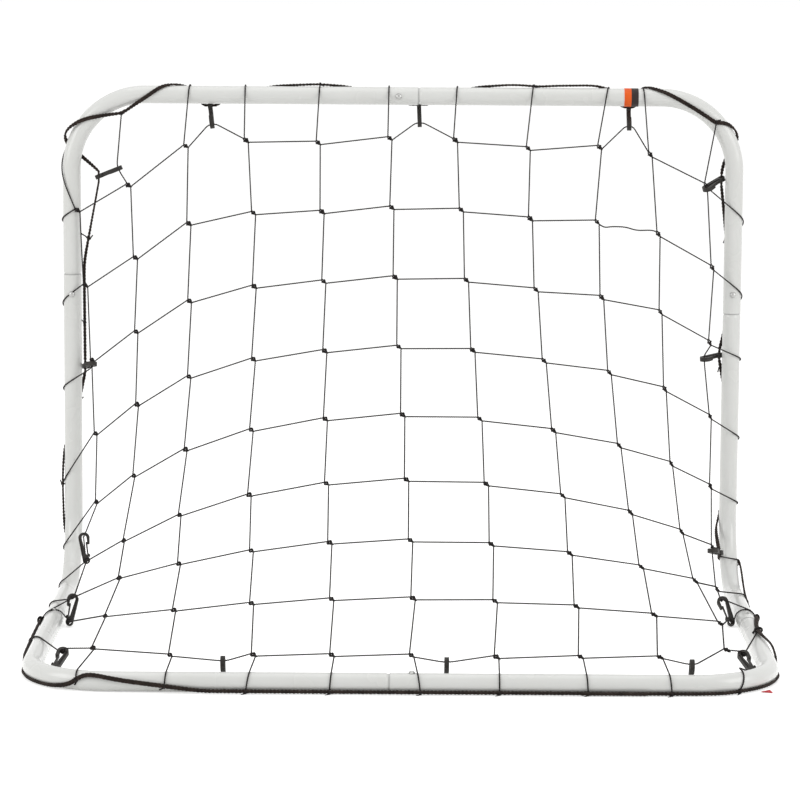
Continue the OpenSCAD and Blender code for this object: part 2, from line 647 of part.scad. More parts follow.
// A closed tube along a list of points.
module closed_tube(points, r, sides) {
  n = len(points);
  rings = [for (i = [0:n - 1])
    let (along = unit(points[(i + 1) % n] - points[(i + n - 1) % n]),
      side = unit(cross(along, abs(along[2]) > 0.8 ? [0, 1, 0] : [0, 0, 1])),
      up = cross(side, along))
    for (k = [0:sides - 1])
      points[i] + r * (cos(360 * k / sides) * side + sin(360 * k / sides) * up)];
  faces = [for (i = [0:n - 1]) let (j = (i + 1) % n) for (k = [0:sides - 1])
    let (m = (k + 1) % sides)
    each [[i * sides + k, i * sides + m, j * sides + m], [i * sides + k, j * sides + m, j * sides + k]]];
  polyhedron(rings, faces);
}

module border_cord() {
  color("saddlebrown") closed_tube([for (p = CORD) from_uprights(p)], cord_r, 8);
}

// ---------- band and tag ----------
// Two turns of tape side by side on the top bar.
module band(side) {
  translate([corner_x - band_inset, rear_y, top_z]) rotate([0, side * 90, 0])
    ring(tube_r + band_t, tube_r, band_len);
}

module band_orange() {
  color("orange") band(-1);
}

module band_black() {
  color("black") band(1);
}

// A three-cornered scrap of cloth, sewn to the border cord at the front right corner.
TAG_AT = [-19, 24, seat_gap];
tag_turn = 222;
module corner_tag() {
  color("red") translate(from_uprights(RIGHT + LOW + TAG_AT)) rotate(tag_turn)
    linear_extrude(tag_t) polygon([[0, 0], [tag_size, 0], [tag_size / 2, tag_size * 0.75]]);
}

TUBES = ["top_left", "top_right", "left_heel", "right_heel", "front_left", "front_right"];
top_left();
top_right();
left_heel();
right_heel();
front_left();
front_right();
for (i = [0:len(SEAMS) - 1]) {
  color("silver") at_button(i) button();
  color("gray") at_button(i) leaf_spring();
}
for (i = [0:len(CLIPS) - 1]) {
  color("#38332f") at_clip(i) clip_body();
  color("#423c38") at_clip(i) clip_gate();
}
net();
border_cord();
band_orange();
band_black();
corner_tag();
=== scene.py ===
"""A knock-down practice hockey goal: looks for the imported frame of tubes, clips and cord net.

X runs across the goal, +Y out of its mouth and +Z up, in metres. The net is hung by the same
rule as the goal itself: knots settle where the pulls of their mesh bars cancel.
"""
import json
import math

import bmesh
import bpy
import numpy as np
from mathutils import Matrix, Vector


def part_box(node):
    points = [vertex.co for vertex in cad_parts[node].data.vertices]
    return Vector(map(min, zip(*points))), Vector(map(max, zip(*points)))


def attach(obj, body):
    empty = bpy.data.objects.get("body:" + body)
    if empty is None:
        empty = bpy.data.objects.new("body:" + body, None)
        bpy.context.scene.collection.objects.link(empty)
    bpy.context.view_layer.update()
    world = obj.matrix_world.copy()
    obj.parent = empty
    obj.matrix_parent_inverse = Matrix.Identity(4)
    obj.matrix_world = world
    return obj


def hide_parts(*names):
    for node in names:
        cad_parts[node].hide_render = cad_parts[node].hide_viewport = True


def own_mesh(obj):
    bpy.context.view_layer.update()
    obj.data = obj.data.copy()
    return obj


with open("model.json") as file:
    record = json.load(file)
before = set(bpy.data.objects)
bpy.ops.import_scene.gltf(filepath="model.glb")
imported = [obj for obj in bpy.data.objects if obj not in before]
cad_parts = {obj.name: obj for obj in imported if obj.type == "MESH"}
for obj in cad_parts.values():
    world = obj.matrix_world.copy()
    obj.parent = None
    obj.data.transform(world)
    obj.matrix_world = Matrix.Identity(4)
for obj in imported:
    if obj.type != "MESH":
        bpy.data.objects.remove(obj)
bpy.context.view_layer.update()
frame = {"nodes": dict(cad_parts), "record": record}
nodes = frame["nodes"]

# ---------- sizes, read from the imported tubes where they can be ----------
heel_low, heel_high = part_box("left_heel")
top_low, top_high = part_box("top_left")
front_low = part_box("front_left")[0]
TUBE_R = (heel_high.x - heel_low.x) / 2
SIDE_X = -(heel_high.x + heel_low.x) / 2
REAR_Y = (top_high.y + top_low.y) / 2
TOP_Z = top_high.z - TUBE_R
FLOOR_Z = TUBE_R
BASE_DEPTH = REAR_Y - front_low.y - TUBE_R
BEND_R = 0.105
CORNER_X = SIDE_X - BEND_R
CORNER_Z = TOP_Z - BEND_R
HEEL_Z = FLOOR_Z + BEND_R
FRONT_Y = BEND_R - BASE_DEPTH

TWINE_R = 0.0012
KNOT_REACH = 0.0040
KNOT_T = 0.0038
CORD_R = 0.00275
BRAID_W = 0.0062
BRAID_T = 0.0034
CLIP_LEN = 0.032
CLIP_T = 0.006
HEAD_BORE_R = 0.0038
SEAT_GAP = 0.0003
TOUCH = 0.0001


def vec(x, y, z):
    return np.array([x, y, z], float)


def mm(x, y, z):
    """A point that is given in millimetres."""
    return vec(x, y, z) / 1000


def unit(v):
    return v / np.linalg.norm(v)


def in_frame(p):
    """A point measured from the plane of the uprights, in the goal's frame."""
    return np.array(p, float) + vec(0, REAR_Y, 0)


def add_object(name, data):
    thing = bpy.data.objects.new(name, data)
    bpy.context.scene.collection.objects.link(thing)
    return thing


# ---------- node trees, for shaders and for geometry ----------
FLOAT, INT, VECTOR = "NodeSocketFloat", "NodeSocketInt", "NodeSocketVector"
COLOR, MATERIAL = "NodeSocketColor", "NodeSocketMaterial"
OBJECT, GEOMETRY = "NodeSocketObject", "NodeSocketGeometry"
SHADER_TREE, GEOMETRY_TREE = "ShaderNodeTree", "GeometryNodeTree"


class Wire:
    """A socket's value; arithmetic on it adds Math nodes to its tree."""

    def __init__(self, tree, socket):
        self.tree, self.socket = tree, socket

    def __add__(self, other):
        return maths("ADD", self, other)

    def __sub__(self, other):
        return maths("SUBTRACT", self, other)

    def __rsub__(self, other):
        return maths("SUBTRACT", other, self)

    def __mul__(self, other):
        return maths("MULTIPLY", self, other)

    def __truediv__(self, other):
        return maths("DIVIDE", self, other)


def plug(socket, value):
    """Links a wire to an input, or sets the input to a plain value."""
    if isinstance(value, Wire):
        value.tree.links.new(value.socket, socket)
    elif socket.type == "RGBA" and len(value) == 3:
        socket.default_value = (*value, 1)
    else:
        socket.default_value = value


def feed(node, *values, **named):
    """Plugs values into a node's inputs, in their order or by name."""
    for socket, value in zip(node.inputs, values):
        plug(socket, value)
    for label, value in named.items():
        plug(node.inputs[label.replace("_", " ")], value)
    return node


def add_node(tree, kind, *values, **named):
    """A node: names in lower case are its settings, and the rest is plugged into its inputs."""
    node = tree.nodes.new(kind)
    for label in [label for label in named if label.islower()]:
        setattr(node, label, named.pop(label))
    return feed(node, *values, **named)


def out(node, output=0):
    """The wire from one of a node's outputs."""
    return Wire(node.id_data, node.outputs[output])


def maths(operation, *values):
    tree = next(value.tree for value in values if isinstance(value, Wire))
    return out(add_node(tree, "ShaderNodeMath", *values, operation=operation))


def vector_maths(operation, *values, output=0, **named):
    node = add_node(values[0].tree, "ShaderNodeVectorMath", *values, operation=operation, **named)
    return out(node, output)


def new_tree(kind, name, inputs, outputs):
    """A node group with inputs (name, socket type, default) and outputs (name, socket type).

    It comes with the wires of its inputs and with its output node.
    """
    tree = bpy.data.node_groups.new(name, kind)
    for label, socket_type, default in inputs:
        socket = tree.interface.new_socket(label, in_out="INPUT", socket_type=socket_type)
        if default is not None:
            socket.default_value = default
    for label, socket_type in outputs:
        tree.interface.new_socket(label, in_out="OUTPUT", socket_type=socket_type)
    given = tree.nodes.new("NodeGroupInput")
    wires = {socket.name: Wire(tree, socket) for socket in given.outputs}
    return tree, wires, tree.nodes.new("NodeGroupOutput")


# ---------- camera, light and floor ----------
FOCAL_MM = 157.72
SENSOR_MM = 36
CAMERA_AT = (-0.00687, -4.64804, 0.97982)
# Radians to the right, down and clockwise.
CAMERA_YAW, CAMERA_PITCH, CAMERA_ROLL = 0.0009, 0.1405, -0.0065
WORLD_LIGHT = 0.56
FLOOR_LIFT = 0.55
FLOOR_SIZE = 60
SIDE_LAMP, SIDE_SIZE, SIDE_WATTS = vec(2.6, -1.2, 1.5), 1.8, 23
TOP_LAMP, TOP_SIZE, TOP_WATTS = vec(0, 0.3, 3.0), 2.4, 15
LAMP_TARGET = vec(0, 0, 0.35)


def add_camera():
    data = bpy.data.cameras.new("camera")
    data.sensor_width = SENSOR_MM
    data.lens = FOCAL_MM
    data.clip_end = 100
    camera = add_object("camera", data)
    turn = Matrix.Rotation(-CAMERA_YAW, 4, "Z") @ Matrix.Rotation(math.pi / 2 - CAMERA_PITCH, 4, "X")
    camera.matrix_world = Matrix.Translation(CAMERA_AT) @ turn @ Matrix.Rotation(-CAMERA_ROLL, 4, "Z")
    bpy.context.scene.camera = camera


def add_lamp(name, place, target, size, watts):
    """A square soft box that looks at its target."""
    data = bpy.data.lights.new(name, "AREA")
    data.shape = "SQUARE"
    data.size = size
    data.energy = watts
    aim = (Vector(target) - Vector(place)).to_track_quat("-Z", "Y").to_matrix().to_4x4()
    add_object(name, data).matrix_world = Matrix.Translation(place) @ aim


def seen_white(tree):
    """Shows a white surface to the camera, to mirrors and through glass, and lit to all else."""
    path = add_node(tree, "ShaderNodeLightPath")
    either = maths("MAXIMUM", out(path, "Is Camera Ray"), out(path, "Is Glossy Ray"))
    return maths("MAXIMUM", either, out(path, "Is Transmission Ray"))


def add_world():
    world = bpy.data.worlds.new("studio")
    bpy.context.scene.world = world
    world.use_nodes = True
    tree = world.node_tree
    tree.nodes.clear()
    lit = add_node(tree, "ShaderNodeBackground", Color=(1, 1, 0.99), Strength=WORLD_LIGHT)
    white = add_node(tree, "ShaderNodeBackground", Color=(1, 1, 1), Strength=1)
    mixed = add_node(tree, "ShaderNodeMixShader", seen_white(tree), out(lit), out(white))
    add_node(tree, "ShaderNodeOutputWorld", out(mixed))


def add_floor():
    """A pale floor whose shade is lifted to white, so that only the object's shadow shows."""
    bpy.ops.mesh.primitive_plane_add(size=FLOOR_SIZE)
    floor = bpy.context.object
    floor.name = "floor"
    material = bpy.data.materials.new("pale_floor")
    material.use_nodes = True
    tree = material.node_tree
    tree.nodes.clear()
    diffuse = add_node(tree, "ShaderNodeBsdfDiffuse", Color=(0.9, 0.9, 0.895))
    lift = add_node(tree, "ShaderNodeEmission", Strength=seen_white(tree) * FLOOR_LIFT)
    lifted = add_node(tree, "ShaderNodeAddShader", out(diffuse), out(lift))
    add_node(tree, "ShaderNodeOutputMaterial", out(lifted))
    floor.data.materials.append(material)


# ---------- shader groups that several materials share ----------
def noise(where, scale, detail=3, roughness=0.5, stretch=None):
    """The factor of a noise texture, drawn out along the axes whose stretch is small."""
    if stretch:
        where = out(add_node(where.tree, "ShaderNodeMapping", Vector=where, Scale=stretch))
    return out(add_node(where.tree, "ShaderNodeTexNoise", Vector=where, Scale=scale, Detail=detail,
                        Roughness=roughness), "Fac")


def ramp(value, low, high, to_low=0.0, to_high=1.0):
    """Maps value smoothly from low..high to to_low..to_high, held at both ends."""
    return out(add_node(value.tree, "ShaderNodeMapRange", interpolation_type="SMOOTHSTEP", Value=value,
                        From_Min=low, From_Max=high, To_Min=to_low, To_Max=to_high), "Result")


def fade(value, low, high):
    """1 below low and 0 above high."""
    return ramp(value, low, high, 1.0, 0.0)


MIX_FACTOR, MIX_A, MIX_B, MIX_RESULT = 0, 6, 7, 2


def mix_color(factor, a, b):
    node = add_node(factor.tree, "ShaderNodeMix", data_type="RGBA")
    for index, value in ((MIX_FACTOR, factor), (MIX_A, a), (MIX_B, b)):
        plug(node.inputs[index], value)
    return out(node, MIX_RESULT)


def make_scuff_group():
    """Thin random scratches and small dull patches, as masks from 0 to 1."""
    group, given, result = new_tree(
        SHADER_TREE, "handling_marks",
        [("Vector", VECTOR, None), ("Scale", FLOAT, 1.0), ("Amount", FLOAT, 0.3)],
        [("Scratches", FLOAT), ("Patches", FLOAT)])
    streaks = noise(given["Vector"], given["Scale"] * 55.0, detail=2, roughness=0.4,
                    stretch=(9, 1.2, 2.6))
    patches = noise(given["Vector"], given["Scale"] * 14.0, roughness=0.6)
    line = fade(maths("ABSOLUTE", streaks - 0.5), 0.0, 0.012)
    limit = 0.78 - given["Amount"] * 0.3
    zone = ramp(patches, limit, limit + 0.12)
    feed(result, Scratches=line * zone, Patches=zone)
    return group


def make_yarn_group():
    """Fibre streaks and uneven dye of a yarn, as a colour and a height."""
    group, given, result = new_tree(
        SHADER_TREE, "yarn_fibre",
        [("Vector", VECTOR, None), ("Dark", COLOR, (0, 0, 0, 1)), ("Light", COLOR, (0.1, 0.1, 0.1, 1)),
         ("Scale", FLOAT, 1.0), ("Depth", FLOAT, 1.0)],
        [("Color", COLOR), ("Height", FLOAT)])
    fibre = noise(given["Vector"], given["Scale"] * 2200.0, detail=4, roughness=0.65)
    dye = noise(given["Vector"], given["Scale"] * 90.0, roughness=0.6)
    pale = ramp(fibre * 0.55 + dye * 0.55, 0.35, 0.75) * given["Depth"]
    feed(result, Color=mix_color(pale, given["Dark"], given["Light"]), Height=fibre)
    return group


def make_rubbed_group():
    """A mask of where a joint rubs: 1 on the plane through its place, 0 a width to either side."""
    group, given, result = new_tree(
        SHADER_TREE, "rubbed_place",
        [("Vector", VECTOR, None), ("Place", VECTOR, (0, 0, 0)), ("Axis", VECTOR, (1, 0, 0)),
         ("Width", FLOAT, 0.004)],
        [("Mask", FLOAT)])
    away = vector_maths("SUBTRACT", given["Vector"], given["Place"])
    near = fade(vector_maths("LENGTH", away, output="Value"), 0.018, 0.03)
    along = vector_maths("DOT_PRODUCT", away, given["Axis"], output="Value")
    band = fade(maths("ABSOLUTE", along), 0.0, given["Width"])
    feed(result, Mask=band * near)
    return group


scuff_group = make_scuff_group()
yarn_group = make_yarn_group()
rubbed_group = make_rubbed_group()


def use_group(group, where, **values):
    """A copy of a shared group in the material that where belongs to."""
    return add_node(where.tree, "ShaderNodeGroup", node_tree=group, Vector=where, **values)


def new_material(name, color, roughness, metallic=0.0):
    """A material, its shader and the wire of its object coordinates."""
    material = bpy.data.materials.new(name)
    material.use_nodes = True
    shader = material.node_tree.nodes["Principled BSDF"]
    feed(shader, Base_Color=color, Roughness=roughness, Metallic=metallic)
    return material, shader, out(add_node(material.node_tree, "ShaderNodeTexCoord"), "Object")


def add_bump(shader, height, strength, distance):
    bump = add_node(height.tree, "ShaderNodeBump", Strength=strength, Distance=distance, Height=height)
    feed(shader, Normal=out(bump))


# ---------- materials ----------
PAINT, PAINT_DUSTY = (0.79, 0.795, 0.775), (0.70, 0.70, 0.67)
FLOOR_DIRT, SCRATCHED_PAINT, BARE_STEEL = (0.34, 0.33, 0.30), (0.52, 0.52, 0.50), (0.33, 0.33, 0.33)
PLATING, SCRATCHED_PLATING = (0.46, 0.46, 0.45), (0.28, 0.27, 0.26)
LEAF, LEAF_DARK, LEAF_LIGHT = (0.45, 0.45, 0.46), (0.40, 0.40, 0.42), (0.52, 0.51, 0.50)
SCRATCHED_NYLON = (0.12, 0.11, 0.10)
SEAM_WEAR = 0.0016


def white_paint(name, seams):
    """Glossy white powder coat with orange peel, dust, scuffs and rubbed seams."""
    material, shader, where = new_material("white_paint_" + name, PAINT, roughness=0.24)
    shader.inputs["Coat Weight"].default_value = 0.35
    shader.inputs["Coat Roughness"].default_value = 0.12
    marks = use_group(scuff_group, where, Scale=1.0, Amount=0.35)
    scratches = out(marks, "Scratches")
    cloudy = noise(where, 9, roughness=0.6)
    color = mix_color(ramp(cloudy, 0.35, 0.75, 0.0, 0.35), PAINT, PAINT_DUSTY)
    above_floor = out(add_node(where.tree, "ShaderNodeSeparateXYZ", where), "Z")
    dirt = fade(above_floor, 0.0, 0.009) * ramp(noise(where, 260, detail=4, roughness=0.7), 0.45, 0.62)
    color = mix_color(dirt * 0.5, color, FLOOR_DIRT)
    color = mix_color(scratches * 0.45, color, SCRATCHED_PAINT)
    for place, axis in seams:
        rubbed = use_group(rubbed_group, where, Place=place, Axis=axis, Width=SEAM_WEAR)
        color = mix_color(out(rubbed) * 0.5, color, BARE_STEEL)
    dull = ramp(cloudy, 0.3, 0.7, 0.20, 0.30) + dirt * 0.3 + out(marks, "Patches") * 0.08
    feed(shader, Base_Color=color, Roughness=dull)
    orange_peel = noise(where, 420, detail=2)
    add_bump(shader, orange_peel - scratches * 1.5, strength=0.12, distance=0.0004)
    return material


def button_steel():
    """Plated steel with fine turning lines and small scratches."""
    material, shader, where = new_material("button_steel", PLATING, roughness=0.3, metallic=1.0)
    marks = use_group(scuff_group, where, Scale=6.0, Amount=0.8)
    turning = noise(where, 900, roughness=0.6)
    feed(shader, Base_Color=mix_color(out(marks, "Scratches"), PLATING, SCRATCHED_PLATING),
         Roughness=ramp(turning, 0.3, 0.7, 0.24, 0.40))
    add_bump(shader, turning, strength=0.1, distance=0.0002)
    return material


def spring_steel():
    """Plain rolled spring leaf with drawn-out rolling lines and a faint blue temper."""
    material, shader, where = new_material("spring_steel", LEAF, roughness=0.35, metallic=1.0)
    rolling = noise(where, 120, roughness=0.6, stretch=(1, 14, 14))
    feed(shader, Base_Color=mix_color(rolling, LEAF_DARK, LEAF_LIGHT),
         Roughness=ramp(rolling, 0.3, 0.7, 0.28, 0.48))
    add_bump(shader, rolling, strength=0.15, distance=0.0002)
    return material


def clip_plastic(name, color, worn):
    """Charcoal moulded nylon with a fine spark grain and pale rubbed patches."""
    material, shader, where = new_material(name, color, roughness=0.5)
    shader.inputs["Specular IOR Level"].default_value = 0.3
    marks = use_group(scuff_group, where, Scale=5.0, Amount=1.0)
    grain = noise(where, 1500, detail=2)
    flow = noise(where, 70, roughness=0.6)
    tone = mix_color(ramp(flow, 0.35, 0.7), color, worn)
    feed(shader, Base_Color=mix_color(out(marks, "Scratches") * 0.7, tone, SCRATCHED_NYLON),
         Roughness=ramp(grain, 0.25, 0.75, 0.42, 0.62))
    add_bump(shader, grain, strength=0.25, distance=0.0002)
    return material


def yarn(name, dark, light, scale=1.0, lobe=None):
    """Spun yarn; where the mesh has an attribute for its lobes, the valleys between are darkened with
    painted shade.
    """
    material, shader, where = new_material(name, dark, roughness=0.85)
    shader.inputs["Specular IOR Level"].default_value = 0.2
    shader.inputs["Sheen Weight"].default_value = 0.06
    shader.inputs["Sheen Roughness"].default_value = 0.5
    fibre = use_group(yarn_group, where, Dark=dark, Light=light, Scale=scale, Depth=1.0)
    color = out(fibre, "Color")
    # Painted shade: away from the lobes, the colour is mixed towards a darker copy of the yarn's own dark
    # colour.
    if lobe:
        raised = out(add_node(where.tree, "ShaderNodeAttribute", attribute_name=lobe), "Fac")
        color = mix_color((1.0 - raised) * 0.55, color, tuple(v * 0.3 for v in dark))
    feed(shader, Base_Color=color)
    add_bump(shader, out(fibre, "Height"), strength=0.5, distance=0.0003)
    return material


def tape_cloth(name, dark, light):
    """Glossy cloth tape: a fine square weave under a thin plastic face."""
    material, shader, where = new_material(name, dark, roughness=0.5)
    shader.inputs["Specular IOR Level"].default_value = 0.3
    fibre = use_group(yarn_group, where, Dark=dark, Light=light, Scale=0.6, Depth=0.8)
    feed(shader, Base_Color=out(fibre, "Color"))
    weft = noise(where, 1400, detail=2, roughness=0.4, stretch=(1, 0.15, 0.15))
    warp = noise(where, 1400, detail=2, roughness=0.4, stretch=(0.15, 1, 1))
    add_bump(shader, weft + warp, strength=0.35, distance=0.0003)
    return material


# ---------- the frame's centreline ----------
FRAME_STEP = 0.0015
X_AXIS, Y_AXIS, Z_AXIS = vec(1, 0, 0), vec(0, 1, 0), vec(0, 0, 1)


def bend(centre, start, across_1, across_2, count=40):
    """Points round a quarter bend, down from start degrees, in the plane of the two axes."""
    angles = np.radians(np.linspace(start, start - 90, count))
    return [centre + BEND_R * (math.cos(a) * across_1 + math.sin(a) * across_2) for a in angles]


def spaced(points, step):
    """The same line with its points evenly spaced, every step or so."""
    points = np.array(points)
    lengths = np.linalg.norm(np.diff(points, axis=0), axis=1)
    at = np.concatenate([[0], np.cumsum(lengths)])
    count = max(int(round(at[-1] / step)), 1) + 1
    where = np.linspace(0, at[-1], count)
    return np.stack([np.interp(where, at, points[:, i]) for i in range(3)], axis=1)


def frame_line():
    """The closed centreline of the six tubes, from the middle of the top bar round by the right."""
    half = [vec(0, 0, TOP_Z)]
    half += bend(vec(CORNER_X, 0, CORNER_Z), 90, X_AXIS, Z_AXIS)
    half += bend(vec(SIDE_X, -BEND_R, HEEL_Z), 0, Y_AXIS, Z_AXIS)
    half += bend(vec(CORNER_X, FRONT_Y, FLOOR_Z), 0, X_AXIS, Y_AXIS)
    half.append(vec(0, -BASE_DEPTH, FLOOR_Z))
    other = [p * vec(-1, 1, 1) for p in reversed(half[:-1])]
    return spaced(half + other, FRAME_STEP)


FRAME_LINE = frame_line()


BLOCK = 400


def nearest_tube(points):
    """The nearest point of the frame's centreline to each of the points, found block by block."""
    found = []
    for block in np.array_split(points, max(len(points) // BLOCK, 1)):
        gaps = ((block[:, None, :] - FRAME_LINE[None, :, :]) ** 2).sum(axis=2)
        found.append(FRAME_LINE[gaps.argmin(axis=1)])
    return np.concatenate(found)


def off_the_tubes(points, radius):
    """Points moved straight out of a tube until a cord of that radius only touches it."""
    near = nearest_tube(points)
    away = points - near
    gap = np.linalg.norm(away, axis=1, keepdims=True)
    least = TUBE_R + radius + TOUCH
    return np.where(gap < least, near + away / np.maximum(gap, 1e-6) * least, points)


# ---------- clips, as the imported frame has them, in millimetres ----------
# name: (centre of the eye, point that the head is drawn towards, side that the nose is on)
CLIPS = {
    "top_1": ((-276, 17.5, 694), (-272, -6, 667), (0, -1, 0)),
    "top_2": ((22, 19, 697), (23, -6, 671), (0, -1, 0)),
    "top_3": ((321, 17, 695.5), (321, -6, 668), (0, -1, 0)),
    "left_1": ((-434, 0, 593), (-403, -14, 606), (0, -1, 0)),
    "left_2": ((-456, 12, 318), (-443, -20, 326), (1, 0, 0)),
    "left_3": ((-445, -110, 57), (-449, -105, 91), (1, 0, 0)),
    "left_4": ((-452, -297, 6.5), (-448, -283, 38), (-1, 0, 0)),
    "left_5": ((-444, -598, 7), (-434, -570, 25), (-1, 0, 0)),
    "right_1": ((455, 12, 594), (431, -12, 581), (1, -1, 0)),
    "right_2": ((457, 14, 340), (432, -12, 337), (1, -1, 0)),
    "right_3": ((455, -74, 67), (441, -106, 76), (1, 0, 0)),
    "right_4": ((454, -270, 6.5), (442, -250, 34.5), (-1, 0, 0)),
    "right_5": ((453, -590, 7), (441, -563, 25), (1, 0, 0)),
    "front_1": ((-224, -652, 6.5), (-224, -669, 34), (0, -1, 0)),
    "front_2": ((58, -652, 6.5), (58, -669, 34), (0, -1, 0)),
    "front_3": ((367, -652, 6.5), (367, -669, 32), (0, -1, 0)),
}


def eye(name):
    return mm(*CLIPS[name][0])


def clip_along(name):
    return unit(mm(*CLIPS[name][1]) - eye(name))


def clip_across(name):
    return unit(np.cross(CLIPS[name][2], clip_along(name)))


def seat(name):
    """Where twine lies in a clip's head."""
    return eye(name) + (CLIP_LEN + HEAD_BORE_R - TWINE_R - SEAT_GAP) * clip_along(name)


def beside(name, hole, side):
    """Where a knot lies against a clip's flank, next to its eye or its seat."""
    return hole(name) + side * (CLIP_T / 2 + KNOT_T / 2) * clip_across(name)


# ---------- where the strands cross the frame ----------
COLUMNS, ROWS = 11, 9
LAST_C, LAST_R = COLUMNS - 1, ROWS - 1


def bend_share(overshoot):
    return math.asin(min(max(overshoot, 0) / BEND_R, 1))


# Degrees round a tube from its net side to the border cord.
TOP_CORD, UPRIGHT_CORD, BASE_CORD, FRONT_CORD = 165, 150, 110, 120


# A crossing is (point on a tube's centreline, net side, outward side, degrees to the border cord).
def top_crossing(x):
    s, a = math.copysign(1, x), bend_share(abs(x) - CORNER_X)
    return (vec(x, 0, CORNER_Z + BEND_R * math.cos(a)), vec(0, -1, 0),
            vec(s * math.sin(a), 0, math.cos(a)), TOP_CORD)


def upright_crossing(s, z):
    a, b = bend_share(z - CORNER_Z), bend_share(HEEL_Z - z)
    return (vec(s * (CORNER_X + BEND_R * math.cos(a)), BEND_R * math.cos(b) - BEND_R, z),
            vec(0, -math.cos(b), math.sin(b)), vec(s * math.cos(a), 0, math.sin(a)), UPRIGHT_CORD)


def base_crossing(s, y):
    return vec(s * SIDE_X, y, FLOOR_Z), vec(0, 0, 1), vec(s, 0, 0), BASE_CORD


def front_crossing(x):
    s, a = math.copysign(1, x), bend_share(abs(x) - CORNER_X)
    return (vec(x, FRONT_Y - BEND_R * math.cos(a), FLOOR_Z), vec(0, 0, 1),
            vec(s * math.sin(a), -math.cos(a), 0), FRONT_CORD)


def side_ends(s, heights, depths):
    """Crossings down one upright and along its base bar, from millimetres."""
    return [upright_crossing(s, z / 1000) for z in heights] + [base_crossing(s, -y / 1000) for y in depths]


def around(crossing, radius, degrees):
    """A point round the tube at a crossing, from its net side over its outward side."""
    place, net_side, outward, _ = crossing
    angle = math.radians(degrees)
    return place + radius * (math.cos(angle) * net_side + math.sin(angle) * outward)


TOP_ENDS = {0: upright_crossing(-1, 0.639)}
for column, end_x in enumerate((-306, -226, -121, -18, 77, 181, 286, 351), 2):
    TOP_ENDS[column] = top_crossing(end_x / 1000)
FRONT_ENDS = [front_crossing(x / 1000) for x in (-398, -296, -193, -88, 25, 125, 234, 338)]
LEFT_ENDS = side_ends(-1, (523, 398, 282, 163, 59), (89, 225, 321, 458))
RIGHT_ENDS = side_ends(1, (524, 418, 332, 217, 115, 56), (144, 284, 440))
# Where column 0's upper end is drawn, lower than where it pulls.
LEFT_CORNER = upright_crossing(-1, 0.612)

# ---------- how the net hangs ----------
ROW_BAR, COLUMN_BAR = 0.092, 0.086
TOP_BARS = (0.075, 0.012, 0.054, 0.056, 0.061, 0.053, 0.056, 0.067, 0.063, 0.066)
FRONT_BAR = 0.009
LEFT_BAR, RIGHT_BAR = 0.095, 0.065
LEFT_SLIP, RIGHT_SLIP = 0.026, 0.017
DRAG, PULL_RATE, KNOT_WEIGHT, SETTLE_STEPS = 0.9, 0.12, 0.0001, 260
WRAP_GAP = 0.0004
GUIDE_R = TUBE_R + WRAP_GAP + TWINE_R
KNOT_OUT = TUBE_R + WRAP_GAP + KNOT_T * math.sqrt(3) / 2
SIDE_GUIDE, TOP_GUIDE, FRONT_GUIDE = 50, 42, 0

# Bars that a clip holds: (column, row) of the bar's first knot, and the clip.
HELD_ACROSS = {(2, 0): "top_1", (5, 0): "top_2", (8, 0): "top_3",
               (2, LAST_R): "front_1", (5, LAST_R): "front_2", (8, LAST_R): "front_3"}
HELD_DOWN = {(0, 2): "left_2", (0, 4): "left_3", (0, 5): "left_4",
             (LAST_C, 0): "right_1", (LAST_C, 2): "right_2", (LAST_C, 5): "right_3"}
NOT_ACROSS = {(0, LAST_R), (LAST_C - 1, LAST_R)}
NOT_DOWN = {(0, 6), (0, 7), (LAST_C, 6), (LAST_C, 7)}
FIXED = {
    (0, 2): beside("left_2", seat, -1),
    (0, 5): beside("left_3", eye, 1),
    (0, 6): beside("left_4", seat, -1),
    (0, 7): beside("left_4", eye, -1),
    (0, LAST_R): seat("left_5"),
    (1, 7): mm(-388, -476, 52),
    (1, LAST_R): mm(-394, -592, 34),
    (LAST_C, 0): beside("right_1", seat, -1),
    (LAST_C, 5): beside("right_3", seat, -1),
    (LAST_C, 6): mm(439, -215, 42),
    (LAST_C, 7): beside("right_4", eye, -1),
    (LAST_C, LAST_R): seat("right_5"),
    (LAST_C - 1, 7): mm(422, -448, 42),
    (LAST_C - 1, LAST_R): mm(421, -561, 30),
}


def knot_ties(c, r):
    """What pulls on a knot: (other knot or place, slack length)."""
    ties = []
    for near, other in ((c - 1, c - 1), (c, c + 1)):
        if other < 0:
            ties.append((around(LEFT_ENDS[r], GUIDE_R, SIDE_GUIDE) - vec(0, 0, LEFT_SLIP), LEFT_BAR))
        elif other > LAST_C:
            ties.append((around(RIGHT_ENDS[r], GUIDE_R, SIDE_GUIDE) - vec(0, 0, RIGHT_SLIP), RIGHT_BAR))
        elif (near, r) in HELD_ACROSS:
            ties.append((seat(HELD_ACROSS[(near, r)]), ROW_BAR / 2))
        else:
            ties.append(((other, r), ROW_BAR))
    if r > 0:
        ties.append(((c, r - 1), COLUMN_BAR))
    elif c == 1:
        ties.append((seat("left_1"), TOP_BARS[c]))
    else:
        ties.append((around(TOP_ENDS[c], TUBE_R, TOP_GUIDE), TOP_BARS[c]))
    if r < LAST_R:
        ties.append(((c, r + 1), COLUMN_BAR))
    elif 0 < c <= len(FRONT_ENDS):
        ties.append((around(FRONT_ENDS[c - 1], TUBE_R, FRONT_GUIDE), FRONT_BAR))
    return ties


def beside_upright(p):
    """A knot beside an upright lies against it and not in it."""
    axis = vec(math.copysign(SIDE_X, p[0]), 0, p[2])
    away = p - axis
    far = np.linalg.norm(away)
    return axis + KNOT_OUT / far * away if p[2] > HEEL_Z and far < KNOT_OUT else p


GUESS_WIDTH, GUESS_INSET = 0.925, 0.03


